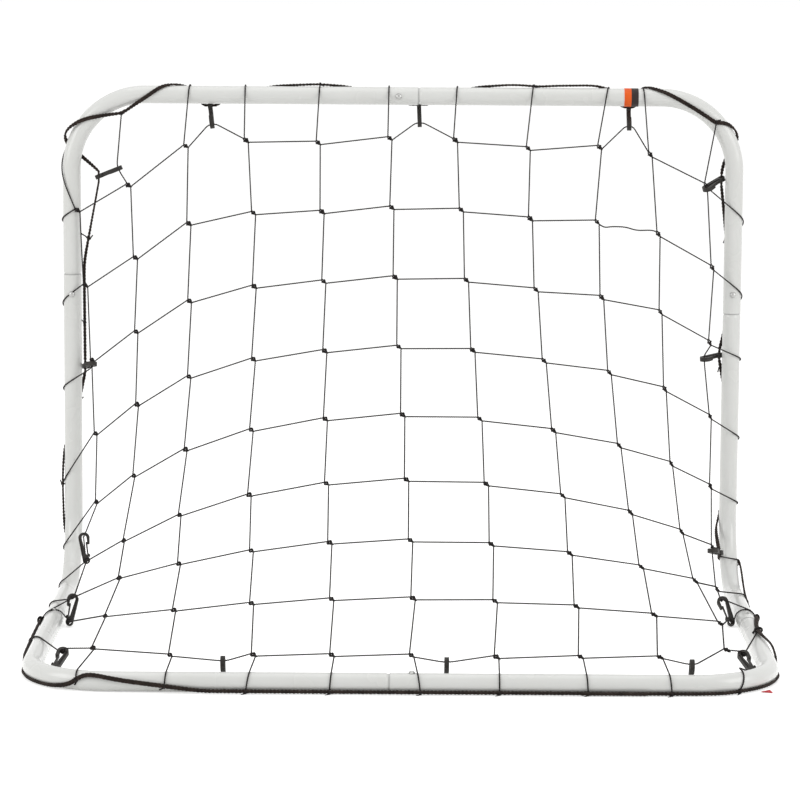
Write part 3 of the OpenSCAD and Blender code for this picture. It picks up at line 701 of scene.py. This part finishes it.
def first_guess(c, r):
    """A knot's place before the net settles: on a curve that sags from the top bar to the low one."""
    u, v = c / LAST_C, (r + 1) / (ROWS + 1)
    y = -GUESS_INSET - (BASE_DEPTH - 2 * GUESS_INSET) * v * v
    return vec((2 * u - 1) * SIDE_X * GUESS_WIDTH, y, TOP_Z * (1 - v) + GUESS_INSET)


def settled_knots():
    """{(column, row): place} where the pulls cancel; strands pull and never push."""
    cells = [(c, r) for r in range(ROWS) for c in range(COLUMNS)]
    index = {cell: i for i, cell in enumerate(cells)}
    pulls = [(index[cell], *tie) for cell in cells if cell not in FIXED for tie in knot_ties(*cell)]
    ends = np.array([knot for knot, _, _ in pulls])
    tied = np.array([index[to] if isinstance(to, tuple) else -1 for _, to, _ in pulls])
    place = np.array([vec(0, 0, 0) if isinstance(to, tuple) else to for _, to, _ in pulls])
    slack = np.array([length for _, _, length in pulls])[:, None]
    free = np.array([cell not in FIXED for cell in cells])[:, None]
    at = np.array([FIXED.get(cell, first_guess(*cell)) for cell in cells])
    speed = np.zeros_like(at)
    for _ in range(SETTLE_STEPS):
        away = np.where(tied[:, None] >= 0, at[tied], place) - at[ends]
        far = np.linalg.norm(away, axis=1, keepdims=True)
        force = np.where(far > slack, (1 - slack / np.maximum(far, 1e-9)) * away, 0)
        total = np.zeros_like(at)
        np.add.at(total, ends, force)
        total[:, 2] -= KNOT_WEIGHT
        speed = (DRAG * speed + PULL_RATE * total) * free
        at = at + speed
    return {cell: beside_upright(at[index[cell]]) for cell in cells}


KNOTS = settled_knots()

# ---------- the border cord, in millimetres ----------
CORD = [
    (-459, 16, 620), (-479, 10, 637), (-485, -4, 654), (-471, -11, 667), (-455, -14, 675.5),
    (-423, -14, 681.2), (-399, -10, 684), (-372, -14, 702.8), (-351, -12, 716.4), (-335, -3, 725.5),
    (-318, 6, 724.5), (-301, 14, 716), (-284, 17.5, 694), (-268, 17.5, 694), (-250, 17, 708),
    (-181, 10, 722.5), (-122, 2, 726.2), (-81, 10, 722.5), (-30, 17.5, 708), (14, 19, 697), (30, 19, 697),
    (60, 17.5, 707), (102, 10, 722.5), (150, 2, 726.8), (172, 2, 726.4), (190, 7, 723.5), (210, 3, 725.6),
    (276, 2, 726.8), (295, 12, 719), (313, 17, 695.5), (329, 17, 695.5), (336, 14, 716), (342, 4, 725.8),
    (357, -9, 723.5), (376, -13.5, 716), (404, -14.5, 700.8), (425, -14.5, 688), (443, -14.5, 675.8),
    (459, -10.5, 675.8), (471, -3, 669), (479, 7, 655), (472, 16, 638), (457, 16, 618), (455, 12, 602),
    (455, 12, 586), (470, 17, 460), (470, 17, 400), (457, 14, 348), (457, 14, 332), (470, 17, 270),
    (471, 17, 132), (462, 14.5, 110), (454, -10, 92), (454, -48, 76), (455, -77, 65), (457, -40, 59),
    (460, -16, 50), (472.3, -11, 42.5), (486.6, -22, 50), (489, -42, 40), (489.5, -62, 25),
    (489, -110, 10), (485, -244, 5.5), (488, -296, 18), (483, -330, 26), (475, -400, 29), (475, -455, 29),
    (487, -488, 23), (489, -520, 12), (483, -575, 3.2), (476, -625, 3.2), (449, -667, 3.2),
    (410, -698, 3.2), (370, -703, 3.2), (-250, -704, 4), (-351, -706, 17.5), (-375, -704, 22),
    (-398, -698, 25), (-414, -698, 9), (-449, -667, 3.2), (-476, -625, 3.2), (-483, -585, 3.2),
    (-489, -531, 10), (-489.3, -420, 13), (-489, -310, 14), (-484, -270, 4.5), (-483.5, -110, 4.5),
    (-482, -60, 13), (-480, -22, 31), (-480, 4, 62), (-487, 2, 84), (-488.5, -1, 155), (-486.8, 6, 198),
    (-475, 16.5, 230), (-464, 16.5, 275), (-456, 12, 310), (-456, 12, 326), (-457, 15, 468),
    (-434, 0, 585), (-434, 0, 601),
]
THREADED = ("top_1", "top_2", "top_3", "left_1", "left_2", "right_1", "right_2", "right_3")
EYE_HOLD = 0.009
# Where a strand draws the cord into a corner at the top: {column: the corner}.
CORNER_PULLS = {1: mm(-399, -10, 684), LAST_C: mm(443, -14.5, 675.8)}
PULL_HOLD = 0.004
CORD_STEP = 0.003
LOWEST_CORD = 0.0038
EASE_CORD, CLEAR_CORD, EASE_SIDES = 24, 8, 12


def near_any(line, places, reach):
    return (np.linalg.norm(line[:, None, :] - np.array(places)[None, :, :], axis=2) < reach).any(axis=1)


def cord_line():
    """The border cord's centreline, closed, with its corners eased but where an eye holds it."""
    line = spaced([mm(*p) for p in CORD + CORD[:1]], CORD_STEP)[:-1]
    near_eye = near_any(line, [eye(name) for name in THREADED], EYE_HOLD)
    held = near_eye | near_any(line, list(CORNER_PULLS.values()), PULL_HOLD)
    for _ in range(EASE_CORD):
        middle = (np.roll(line, 1, axis=0) + np.roll(line, -1, axis=0)) / 2
        moved = line + 0.5 * (middle - line)
        moved[:, 2] = np.maximum(moved[:, 2], LOWEST_CORD)
        line = np.where(held[:, None], line, off_the_tubes(moved, BRAID_T / 2))
    for _ in range(CLEAR_CORD):
        line[:, 2] = np.maximum(line[:, 2], LOWEST_CORD)
        line = off_the_tubes(line, BRAID_T / 2)
    return line, near_eye


CORD_LINE, IN_AN_EYE = cord_line()


def cord_index(p):
    return np.linalg.norm(CORD_LINE - p, axis=1).argmin()


def nearest_cord(p):
    return CORD_LINE[cord_index(p)]


# ---------- routes of the strands ----------
def curve_points(controls, per_span=4):
    """A smooth line through the control points."""
    controls = [np.array(p, float) for p in controls]
    last = len(controls) - 1
    line = []
    for i in range(last):
        a, b, c, d = (controls[min(max(i + k, 0), last)] for k in (-1, 0, 1, 2))
        for t in np.arange(per_span) / per_span:
            line.append(0.5 * (2 * b + (c - a) * t + (2 * a - 5 * b + 4 * c - d) * t ** 2
                               + (3 * b - a - 3 * c + d) * t ** 3))
    return [*line, controls[-1]]


def through(clip, hole, a, b):
    """Where a strand from a to b goes into and out of a clip's eye or seat."""
    place, across = hole(clip), clip_across(clip)
    side = 1 if np.dot(b - a, across) > 0 else -1
    step = side * (CLIP_T / 2 + 2 * TWINE_R) * across
    return [place - step, place + step]


LEAST_LEAD = 0.004
WRAP_STEP = math.radians(9)


def wrap(k, crossing):
    """From a knot over the net side of a tube and round its outside to the border cord, taut.

    The crossing is where the strand passes the tube's outer edge, so its travel along the tube
    is none there and grows evenly with its length on both sides, as on the unrolled tube.
    """
    place, net_side, outward, cord_angle = crossing
    axis = unit(np.cross(net_side, outward))
    radius = TUBE_R + TWINE_R + TOUCH

    def flat(p):
        d = p - place
        return np.dot(d, net_side), np.dot(d, outward), np.dot(d, axis)

    def reach(p):
        """How far a point is from the tube's side, and the angle that it hides the tube by."""
        far = max(math.hypot(p[0], p[1]), radius)
        return math.sqrt(far * far - radius * radius), math.acos(radius / far)

    a = flat(k)
    lead, hidden = reach(a)
    start = math.atan2(a[1], a[0]) + hidden
    to_edge = lead + radius * max(math.pi / 2 - start, 0)
    slope = a[2] / to_edge if to_edge > LEAST_LEAD else 0
    past_edge = radius * (math.radians(cord_angle) - math.pi / 2)
    cord = nearest_cord(around(crossing, TUBE_R + CORD_R, cord_angle) - slope * past_edge * axis)
    b = flat(cord)
    tail, hidden = reach(b)
    stop = math.atan2(b[1], b[0]) - hidden
    if stop < start - math.pi or (stop <= start and b[0] < 0):
        stop += 2 * math.pi
    if stop <= start:
        return [k, cord]
    count = max(math.ceil((stop - start) / WRAP_STEP), 1)
    whole = lead + radius * (stop - start) + tail
    turn = []
    for i in range(count + 1):
        angle = start + (stop - start) * i / count
        share = (lead + radius * (angle - start)) / whole
        turn.append(around(crossing, radius, math.degrees(angle)) + (a[2] + (b[2] - a[2]) * share) * axis)
    return [k, *turn, cord]


# Mesh bars that hang slack: (column, row) of the first knot across, with the dips along the bar.
SLACK_ACROSS = {(8, 1): ((0.1, 0.0036), (0.2, 0.0012), (0.45, -0.0008), (0.65, 0.0014), (0.9, -0.0014))}


def slack_bar(a, b, dips):
    """A bar with more twine than its span needs, in low ripples."""
    return curve_points([a] + [a + t * (b - a) - vec(0, 0, dip) for t, dip in dips] + [b])


def knot_axis(c, r):
    """The knot's long axis, from its upper left end to its lower right end, and its normal."""
    left = KNOTS[(max(c - 1, 0), r)]
    right = KNOTS[(min(c + 1, LAST_C), r)]
    upper = KNOTS[(c, r - 1)] if r > 0 else KNOTS[(c, r)] + mm(0, 20, 40)
    lower = KNOTS[(c, r + 1)] if r < LAST_R else KNOTS[(c, r)] - mm(0, 40, 20)
    across, down = unit(right - left), unit(lower - upper)
    return unit(across + down), unit(np.cross(across, down))


def leg(c, r, side):
    """Where a strand leaves a knot: side -1 at the upper left end, 1 at the lower right end."""
    return KNOTS[(c, r)] + side * KNOT_REACH * knot_axis(c, r)[0]


def mesh_bars():
    """The points of every strand between two knots."""
    bars = []
    for r in range(ROWS):
        for c in range(LAST_C):
            a, b = leg(c, r, 1), leg(c + 1, r, -1)
            if (c, r) in SLACK_ACROSS:
                bars.append(slack_bar(a, b, SLACK_ACROSS[(c, r)]))
            elif (c, r) not in NOT_ACROSS:
                bars.append(held_bar(a, b, HELD_ACROSS.get((c, r))))
    for c in range(COLUMNS):
        for r in range(LAST_R):
            if (c, r) not in NOT_DOWN:
                bars.append(held_bar(leg(c, r, 1), leg(c, r + 1, -1), HELD_DOWN.get((c, r))))
    return bars


def held_bar(a, b, clip):
    """A straight bar, or one that runs through the head of its clip."""
    return [a, *through(clip, seat, a, b), b] if clip else [a, b]


def border_ends():
    """The points of every strand that ends on the border cord."""
    ends = [wrap(leg(0, 0, -1), LEFT_CORNER)]
    ends += [wrap(leg(c, 0, -1), TOP_ENDS[c]) for c in range(2, LAST_C)]
    ends.append([leg(LAST_C, 0, -1), nearest_cord(CORNER_PULLS[LAST_C])])
    ends += [wrap(leg(c, LAST_R, 1), crossing) for c, crossing in enumerate(FRONT_ENDS, 1)]
    ends += [wrap(leg(0, r, -1), LEFT_ENDS[r]) for r in (0, 1, 3, 4, 7)]
    ends += [wrap(leg(LAST_C, r, 1), RIGHT_ENDS[r]) for r in (0, 1, 2, 3, 4, 6, 7)]
    ends.append(wrap(leg(0, 6, 1), LEFT_ENDS[7]))
    for cell, clip, hole, crossing in (
            ((0, 2), "left_2", seat, LEFT_ENDS[2]), ((0, 5), "left_3", eye, LEFT_ENDS[5]),
            ((0, 6), "left_4", seat, LEFT_ENDS[6]), ((LAST_C, 5), "right_3", eye, RIGHT_ENDS[5]),
            ((LAST_C, 6), "right_4", seat, RIGHT_ENDS[7]), ((1, LAST_R), "left_5", seat, LEFT_ENDS[LAST_R]),
            ((LAST_C - 1, LAST_R), "right_5", seat, RIGHT_ENDS[LAST_R])):
        into, outward = through(clip, hole, KNOTS[cell], crossing[0])
        ends.append([KNOTS[cell], into, *wrap(outward, crossing)])
    knot, corner = KNOTS[(1, 0)], CORNER_PULLS[1]
    ends.append([knot, *through("left_1", seat, knot, corner), nearest_cord(corner)])
    lashing = wrap(mm(428, -655, 27), front_crossing(0.4215))
    ends.append([eye("right_5"), mm(438, -625, 18), *lashing])
    return ends


STRAND_STEP, EASE_STRAND = 0.0025, 3


def smooth_strand(points):
    """A strand with a point every few millimetres, eased at its corners and clear of the tubes."""
    line = spaced(points, STRAND_STEP)
    for _ in range(EASE_STRAND):
        middle = (line[:-2] + line[2:]) / 2
        line[1:-1] = off_the_tubes(line[1:-1] + 0.5 * (middle - line[1:-1]), TWINE_R)
    return line


BARS = [smooth_strand(points) for points in mesh_bars()]
ENDS = [smooth_strand(points) for points in border_ends()]


# ---------- geometry node trees ----------
def piece_tree(name, *inputs):
    """A geometry tree that turns lines or points into a piece of one material."""
    given = [("Geometry", GEOMETRY, None), *inputs, ("Material", MATERIAL, None)]
    return new_tree(GEOMETRY_TREE, name, given, [("Geometry", GEOMETRY)])


def attribute(tree, name, kind="FLOAT"):
    return out(add_node(tree, "GeometryNodeInputNamedAttribute", data_type=kind, Name=name), "Attribute")


def store(geometry, name, value):
    return out(add_node(geometry.tree, "GeometryNodeStoreNamedAttribute", data_type="FLOAT", domain="POINT",
                        Geometry=geometry, Name=name, Value=value), "Geometry")


def even_curves(lines, step):
    """The lines of a mesh as curves with a point every step."""
    curves = out(add_node(lines.tree, "GeometryNodeMeshToCurve", Mesh=lines))
    return out(add_node(lines.tree, "GeometryNodeResampleCurve", mode="LENGTH", Curve=curves, Length=step))


def turns_along(tree, length):
    """How many lengths a point lies along its curve."""
    return out(add_node(tree, "GeometryNodeSplineParameter"), "Length") / length


def finish_tree(geometry, material, output):
    """Realize Instances and Set Material, the last two steps of every tree."""
    real = out(add_node(geometry.tree, "GeometryNodeRealizeInstances", Geometry=geometry))
    painted = add_node(geometry.tree, "GeometryNodeSetMaterial", Geometry=real, Material=material)
    feed(output, Geometry=out(painted))


def make_twine_tree():
    """Three-ply twine along each line of the mesh: a three-lobed section turned by its lay."""
    tree, given, output = piece_tree(
        "laid_twine", ("Radius", FLOAT, TWINE_R), ("Groove", FLOAT, 0.0004), ("Lay Length", FLOAT, 0.009),
        ("Steps per Turn", FLOAT, 6.0))
    curves = even_curves(given["Geometry"], given["Lay Length"] / given["Steps per Turn"])
    lay = turns_along(tree, given["Lay Length"]) * (2 * math.pi)
    turned = out(add_node(tree, "GeometryNodeSetCurveTilt", Curve=curves, Tilt=lay))
    inner = given["Radius"] - given["Groove"]
    section = add_node(tree, "GeometryNodeCurveStar", Points=3, Inner_Radius=inner,
                       Outer_Radius=given["Radius"], Twist=0.0)
    # The lobe attribute marks the outer points; the twine's material paints shade in the valleys away from
    # them.
    lobed = store(out(section, "Curve"), "lobe", out(section, "Outer Points"))
    body = add_node(tree, "GeometryNodeCurveToMesh", Curve=turned, Profile_Curve=lobed, Fill_Caps=True)
    finish_tree(out(body), given["Material"], output)
    return tree


def make_set_tree():
    """Sets a copy of one small piece on each point, turned and sized by the point's attributes."""
    tree, given, output = piece_tree("set_on_points", ("Piece", OBJECT, None))
    piece = out(add_node(tree, "GeometryNodeObjectInfo", Object=given["Piece"]), "Geometry")
    turn = out(add_node(tree, "FunctionNodeEulerToRotation", attribute(tree, "turn", "FLOAT_VECTOR")))
    placed = add_node(tree, "GeometryNodeInstanceOnPoints", Points=given["Geometry"], Instance=piece,
                      Scale=attribute(tree, "size", "FLOAT_VECTOR"), Rotation=turn)
    finish_tree(out(placed), given["Material"], output)
    return tree


def make_braid_tree():
    """A flat braid: each ply swings across the band and over and under the others."""
    tree, given, output = piece_tree(
        "flat_braid", ("Plies", INT, 5), ("Ply Radius", FLOAT, 0.00105), ("Width", FLOAT, BRAID_W),
        ("Thickness", FLOAT, BRAID_T), ("Pitch", FLOAT, 0.024), ("Step", FLOAT, 0.0017))
    ply = given["Ply Radius"]
    curves = even_curves(given["Geometry"], given["Step"])
    copies = add_node(tree, "GeometryNodeDuplicateElements", domain="SPLINE", Geometry=curves,
                      Amount=given["Plies"])
    numbered = store(out(copies), "ply", out(copies, "Duplicate Index"))
    share = attribute(tree, "ply") / given["Plies"]
    phase = (turns_along(tree, given["Pitch"]) + share) * (2 * math.pi)
    swing = maths("SINE", phase) * (given["Width"] * 0.5 - ply) * attribute(tree, "pinch")
    lift = maths("SINE", phase * (given["Plies"] - 1.0)) * (given["Thickness"] * 0.5 - ply)
    moves = [vector_maths("SCALE", attribute(tree, name, "FLOAT_VECTOR"), Scale=amount)
             for name, amount in (("across", swing), ("outward", lift))]
    offset = vector_maths("ADD", *moves)
    moved = out(add_node(tree, "GeometryNodeSetPosition", Geometry=numbered, Offset=offset))
    section = out(add_node(tree, "GeometryNodeCurvePrimitiveCircle", Resolution=5, Radius=ply))
    body = add_node(tree, "GeometryNodeCurveToMesh", Curve=moved, Profile_Curve=section)
    finish_tree(out(body), given["Material"], output)
    return tree


def run_tree(name, mesh, tree, **values):
    """Runs a tree over a mesh and returns its result as a plain object of that name."""
    source = add_object(name + "_source", mesh)
    modifier = source.modifiers.new("tree", "NODES")
    modifier.node_group = tree
    sockets = {s.name: s.identifier for s in tree.interface.items_tree if s.in_out == "INPUT"}
    for label, value in values.items():
        modifier[sockets[label]] = value
    graph = bpy.context.evaluated_depsgraph_get()
    graph.update()
    result = bpy.data.meshes.new_from_object(source.evaluated_get(graph))
    result.name = name
    bpy.data.objects.remove(source)
    return add_object(name, result)


def line_mesh(name, routes):
    """A mesh of lines of edges in the goal's frame: (points, whether the line is closed)."""
    verts, edges = [], []
    for points, closed in routes:
        first = len(verts)
        verts += [tuple(in_frame(p)) for p in points]
        edges += [(first + i, first + i + 1) for i in range(len(points) - 1)]
        if closed:
            edges.append((first + len(points) - 1, first))
    mesh = bpy.data.meshes.new(name)
    mesh.from_pydata(verts, edges, [])
    return mesh


def set_attribute(mesh, name, values, kind="FLOAT_VECTOR"):
    layer = mesh.attributes.new(name, kind, "POINT")
    data = np.array(values, np.float32).ravel()
    layer.data.foreach_set("vector" if kind == "FLOAT_VECTOR" else "value", data)


def set_pieces(name, tree, piece, material, spots):
    """One object of copies of a small piece, one at each spot: (place, turn, size)."""
    places, turns, sizes = zip(*spots)
    mesh = bpy.data.meshes.new(name + "_spots")
    mesh.from_pydata([tuple(in_frame(p)) for p in places], [], [])
    set_attribute(mesh, "turn", turns)
    set_attribute(mesh, "size", sizes)
    return run_tree(name, mesh, tree, Piece=piece, Material=material)


def euler_of(x, y, z):
    return Matrix([Vector(x), Vector(y), Vector(z)]).transposed().to_euler()


# ---------- small pieces that the trees place ----------
def sweep(bm, points, radius, sides=6):
    """A closed round tube along points, added to a bmesh."""
    points = [Vector(p) for p in points]
    side = None
    rings = []
    for i, p in enumerate(points):
        along = (points[min(i + 1, len(points) - 1)] - points[max(i - 1, 0)]).normalized()
        if side is None:
            side = along.orthogonal().normalized()
        side = (side - along * side.dot(along)).normalized()
        up = along.cross(side)
        rings.append([bm.verts.new(p + radius * (math.cos(a) * side + math.sin(a) * up))
                      for a in (2 * math.pi * k / sides for k in range(sides))])
    for a, b in zip(rings, rings[1:]):
        for k in range(sides):
            m = (k + 1) % sides
            bm.faces.new((a[k], a[m], b[m], b[k]))
    bm.faces.new(list(reversed(rings[0])))
    bm.faces.new(rings[-1])


def hidden_piece(name, routes, radius, sides=6):
    """Round cords along routes, only used as what a tree places; it isn't linked to the scene."""
    bm = bmesh.new()
    for points in routes:
        sweep(bm, points, radius, sides)
    bmesh.ops.recalc_face_normals(bm, faces=bm.faces)
    mesh = bpy.data.meshes.new(name)
    bm.to_mesh(mesh)
    bm.free()
    return bpy.data.objects.new(name, mesh)


KNOT_SCALE = mm(2.47, 1.805, 1.805)
KNOT_PLY_R = 0.00105


def weavers_knot():
    """A sheet bend: a bight on -X, and the other strand up through it, behind it and out on +X."""
    bight = [(-1.9, 0.5, 0), (-1.0, 0.75, 0.1), (0.3, 0.85, 0.05), (1.0, 0.45, 0), (1.15, 0, 0),
             (1.0, -0.45, 0), (0.3, -0.85, -0.05), (-1.0, -0.75, -0.1), (-1.9, -0.5, 0)]
    hitch = [(1.9, 0.45, -0.5), (1.0, 0.25, -0.8), (0.2, 0.0, 0.0), (-0.3, 0.2, 0.85), (-0.5, 1.0, 0.8),
             (-0.6, 1.6, 0.0), (-0.5, 1.0, -0.85), (-0.4, -0.2, -0.95), (-0.4, -1.1, -0.8),
             (-0.3, -1.6, 0.0), (0.1, -1.0, 0.85), (0.8, -0.4, 0.9), (1.9, -0.45, 0.4)]
    routes = [[p * KNOT_SCALE for p in curve_points(controls)] for controls in (bight, hitch)]
    return hidden_piece("weavers_knot", routes, KNOT_PLY_R)


HITCH_TURNS, HITCH_POINTS = 1.25, 22
HITCH_LENGTH, HITCH_R = 0.002, TWINE_R * 0.8


def cord_hitch():
    """Twine once and a quarter round the flat border cord, with its cut end tucked along it."""
    across, outward = BRAID_W / 2 - TWINE_R * 0.1, BRAID_T / 2 + TWINE_R * 0.25
    points = []
    for i in range(HITCH_POINTS + 1):
        share = i / HITCH_POINTS
        a = 2 * math.pi * (0.25 + HITCH_TURNS * share)
        points.append(vec(HITCH_LENGTH * (share - 0.5), across * math.cos(a), outward * math.sin(a)))
    tail = [points[-1] + mm(2, -1, 0), points[-1] + mm(4.5, -2.2, -0.4)]
    return hidden_piece("cord_hitch", [points + tail], HITCH_R)


STITCH_X, STITCH_Y, STITCH_LIFT, STITCH_BOW = 0.0009, 0.0026, 0.0004, 0.0011
THREAD_R = 0.00028


def bar_tack():
    """One stitch of pale thread over the braid, slanting."""
    points = [vec(STITCH_X * t, STITCH_Y * t, BRAID_T / 2 + STITCH_LIFT - STITCH_BOW * t ** 4)
              for t in np.linspace(-1, 1, 9)]
    return hidden_piece("bar_tack", [points], THREAD_R, sides=5)


# ---------- the pieces ----------
PRESSED_Z, PRESS = 0.0004, 0.2


def press_on_floor(piece):
    """Flattens what soft twine or braid would reach below the floor that it lies on."""
    for v in piece.data.vertices:
        if v.co.z < PRESSED_Z:
            v.co.z = PRESSED_Z + PRESS * (v.co.z - PRESSED_Z)


def hand_over(piece, replaced=None):
    """Ties a piece to the frame's body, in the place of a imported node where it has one."""
    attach(piece, "frame")
    if replaced:
        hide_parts(replaced)


TIGHTNESS_VARIES = 0.12


def add_net(twine, set_tree):
    mesh = line_mesh("strand_lines", [(points, False) for points in BARS + ENDS])
    strands = run_tree("net_strands", mesh, make_twine_tree(), Material=twine)
    press_on_floor(strands)
    hand_over(strands, "net")

    spots = []
    for (c, r), place in KNOTS.items():
        axis, normal = knot_axis(c, r)
        tightness = 1 + TIGHTNESS_VARIES * math.sin(2.4 * c + 3.9 * r)
        spots.append((place, euler_of(axis, np.cross(normal, axis), normal), (tightness, tightness, 1)))
    hand_over(set_pieces("net_knots", set_tree, weavers_knot(), twine, spots), "net")


def square_to(along, sides):
    """Side directions made square to the cord's own, and of length one."""
    sides = sides - (sides * along).sum(axis=1, keepdims=True) * along
    return sides / np.linalg.norm(sides, axis=1, keepdims=True)


def cord_sides():
    """For each point of the border cord: along it, across its width, and out of the tube."""
    along = np.roll(CORD_LINE, -1, axis=0) - np.roll(CORD_LINE, 1, axis=0)
    along /= np.linalg.norm(along, axis=1, keepdims=True)
    outward = CORD_LINE - nearest_tube(CORD_LINE)
    for _ in range(EASE_SIDES):
        outward = square_to(along, outward)
        outward = (outward + np.roll(outward, 1, axis=0) + np.roll(outward, -1, axis=0)) / 3
    outward = square_to(along, outward)
    return along, np.cross(along, outward), outward


# A second layer of braid under the low bar, where the cord's ends overlap.
LAP_X, LAP_LENGTH, LAP_GAP, LAP_LIFT = 0.267, 0.088, 0.8 * BRAID_T, 0.0014
EYE_PINCH, LAP_PINCH = 0.55, 0.9
# Hitches with more twine in them, where two strands share the border cord.
BULKY_HITCHES = (mm(-489, -302, 16), mm(489.5, -45, 36), mm(484, -322, 24), mm(480, -440, 28))
BULKY_REACH, BULK = 0.04, 1.6
TACK_PLACES = (mm(-468, -12, 669), mm(-461, -13, 673), mm(-454, -14, 676))
TACK_PAIR = mm(3.5, 0, 2)
TACK_TURN = 0.66


def add_border_cord(braid, twine, thread, set_tree):
    along, across, outward = cord_sides()
    lapped = (np.abs(CORD_LINE[:, 0] - LAP_X) < LAP_LENGTH / 2) & (CORD_LINE[:, 1] < FRONT_Y)
    lap = (CORD_LINE + LAP_GAP * outward + vec(0, 0, LAP_LIFT))[lapped]
    mesh = line_mesh("cord_line", [(CORD_LINE, True), (lap, False)])
    pinch = np.concatenate([np.where(IN_AN_EYE, EYE_PINCH, 1.0), np.full(len(lap), LAP_PINCH)])
    set_attribute(mesh, "across", np.concatenate([across, across[lapped]]))
    set_attribute(mesh, "outward", np.concatenate([outward, outward[lapped]]))
    set_attribute(mesh, "pinch", pinch, "FLOAT")
    cord = run_tree("border_braid", mesh, make_braid_tree(), Material=braid)
    press_on_floor(cord)
    hand_over(cord, "border_cord")

    spots = []
    for points in ENDS:
        i = cord_index(points[-1])
        bulk = BULK if near_any(points[-1:], BULKY_HITCHES, BULKY_REACH)[0] else 1
        spots.append((CORD_LINE[i], euler_of(along[i], across[i], outward[i]), (bulk, bulk, bulk)))
    hitches = set_pieces("cord_hitches", set_tree, cord_hitch(), twine, spots)
    press_on_floor(hitches)
    hand_over(hitches)

    spots = []
    for place in TACK_PLACES:
        for spot, lean in ((place, 0), (place + TACK_PAIR, TACK_TURN)):
            i = cord_index(spot)
            turn = euler_of(math.cos(lean) * along[i] + math.sin(lean) * across[i],
                            math.cos(lean) * across[i] - math.sin(lean) * along[i], outward[i])
            spots.append((CORD_LINE[i], turn, (1, 1, 1)))
    hand_over(set_pieces("cord_stitches", set_tree, bar_tack(), thread, spots))


WELD = 1e-5


def clean_copy(name, node, material, reshape=None):
    """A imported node's mesh as a piece of its own: welded, reshaped and with its faces outward."""
    bm = bmesh.new()
    bm.from_mesh(nodes[node].data)
    bmesh.ops.remove_doubles(bm, verts=bm.verts, dist=WELD)
    if reshape:
        reshape(bm)
    bmesh.ops.recalc_face_normals(bm, faces=bm.faces)
    mesh = bpy.data.meshes.new(name)
    bm.to_mesh(mesh)
    bm.free()
    mesh.materials.append(material)
    return add_object(name, mesh)


RIPPLE, RIPPLE_TURN, CURL = 0.0004, 400, 6


def curl_scrap(bm):
    """Curls the scrap of cloth up from its middle."""
    bmesh.ops.subdivide_edges(bm, edges=bm.edges, cuts=5, use_grid_fill=True)
    low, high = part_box("corner_tag")
    middle = (low + high) / 2
    for v in bm.verts:
        away = (v.co.xy - middle.xy).length
        v.co.z += RIPPLE * math.sin(away * RIPPLE_TURN) + CURL * away * away


def add_scrap(cloth):
    """The three-cornered scrap of cloth, as thick as a doubled hem."""
    scrap = clean_copy("corner_scrap", "corner_tag", cloth, curl_scrap)
    hand_over(scrap, "corner_tag")


def add_spring_leaves(steel):
    """The hairpin leaf behind each snap button, as a welded copy in a mesh of its own."""
    joints = {joint["name"]: joint for joint in frame["record"]["behaviour"]["joints"]}
    for name in SEAMS:
        leaf = clean_copy("leaf_" + name, "spring_" + name, steel)
        hand_over(leaf, "spring_" + name)
        inward = Vector(joints["press_" + name]["axis"])
        low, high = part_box("spring_" + name)
        "press_" + name
        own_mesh(leaf)


def dress(names, material):
    """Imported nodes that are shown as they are, in one material."""
    for name in names:
        slots = nodes[name].data.materials
        slots.clear()
        slots.append(material)


# Where two tubes meet: a point on the seam and the tubes' direction there.
SEAMS = {
    "top": ((0.021, 0.345, TOP_Z), (1, 0, 0)),
    "left_upright": ((-SIDE_X, 0.345, 0.453), (0, 0, 1)),
    "right_upright": ((SIDE_X, 0.345, 0.402), (0, 0, 1)),
    "left_base": ((-SIDE_X, 0.065, FLOOR_Z), (0, 1, 0)),
    "right_base": ((SIDE_X, 0.019, FLOOR_Z), (0, 1, 0)),
    "front": ((-0.014, -0.345, FLOOR_Z), (1, 0, 0)),
}
TUBE_SEAMS = {
    "top_left": ("top", "left_upright"), "top_right": ("top", "right_upright"),
    "left_heel": ("left_upright", "left_base"), "right_heel": ("right_upright", "right_base"),
    "front_left": ("left_base", "front"), "front_right": ("right_base", "front"),
}


def main():
    bpy.context.scene.view_settings.view_transform = "Standard"
    add_camera()
    add_world()
    add_floor()
    add_lamp("left_box", SIDE_LAMP * (-1, 1, 1), LAMP_TARGET, SIDE_SIZE, SIDE_WATTS)
    add_lamp("right_box", SIDE_LAMP, LAMP_TARGET, SIDE_SIZE, SIDE_WATTS)
    add_lamp("top_box", TOP_LAMP, (0, 0, 0), TOP_SIZE, TOP_WATTS)

    for name, seams in TUBE_SEAMS.items():
        dress([name], white_paint(name, [SEAMS[s] for s in seams]))
    dress(["button_" + s for s in SEAMS], button_steel())
    add_spring_leaves(spring_steel())
    clip_nylon = clip_plastic("clip_nylon", (0.020, 0.018, 0.016), (0.036, 0.032, 0.029))
    gate_nylon = clip_plastic("gate_nylon", (0.026, 0.023, 0.021), (0.044, 0.040, 0.037))
    dress(["clip_" + c for c in CLIPS], clip_nylon)
    dress(["gate_" + c for c in CLIPS], gate_nylon)
    dress(["band_orange"], tape_cloth("orange_tape", (0.80, 0.085, 0.004), (0.92, 0.16, 0.02)))
    dress(["band_black"], tape_cloth("black_tape", (0.018, 0.010, 0.009), (0.040, 0.026, 0.024)))

    # The twine's material paints shade in the valleys between the lobes that the twine tree marks.
    twine = yarn("dark_twine", (0.014, 0.011, 0.011), (0.055, 0.046, 0.045), lobe="lobe")
    braid = yarn("brown_braid", (0.010, 0.007, 0.006), (0.050, 0.035, 0.029))
    set_tree = make_set_tree()
    add_net(twine, set_tree)
    thread = yarn("pale_thread", (0.50, 0.46, 0.40), (0.75, 0.70, 0.62), scale=2.0)
    add_border_cord(braid, twine, thread, set_tree)
    add_scrap(yarn("red_cloth", (0.45, 0.02, 0.03), (0.75, 0.07, 0.08), scale=0.5))


main()
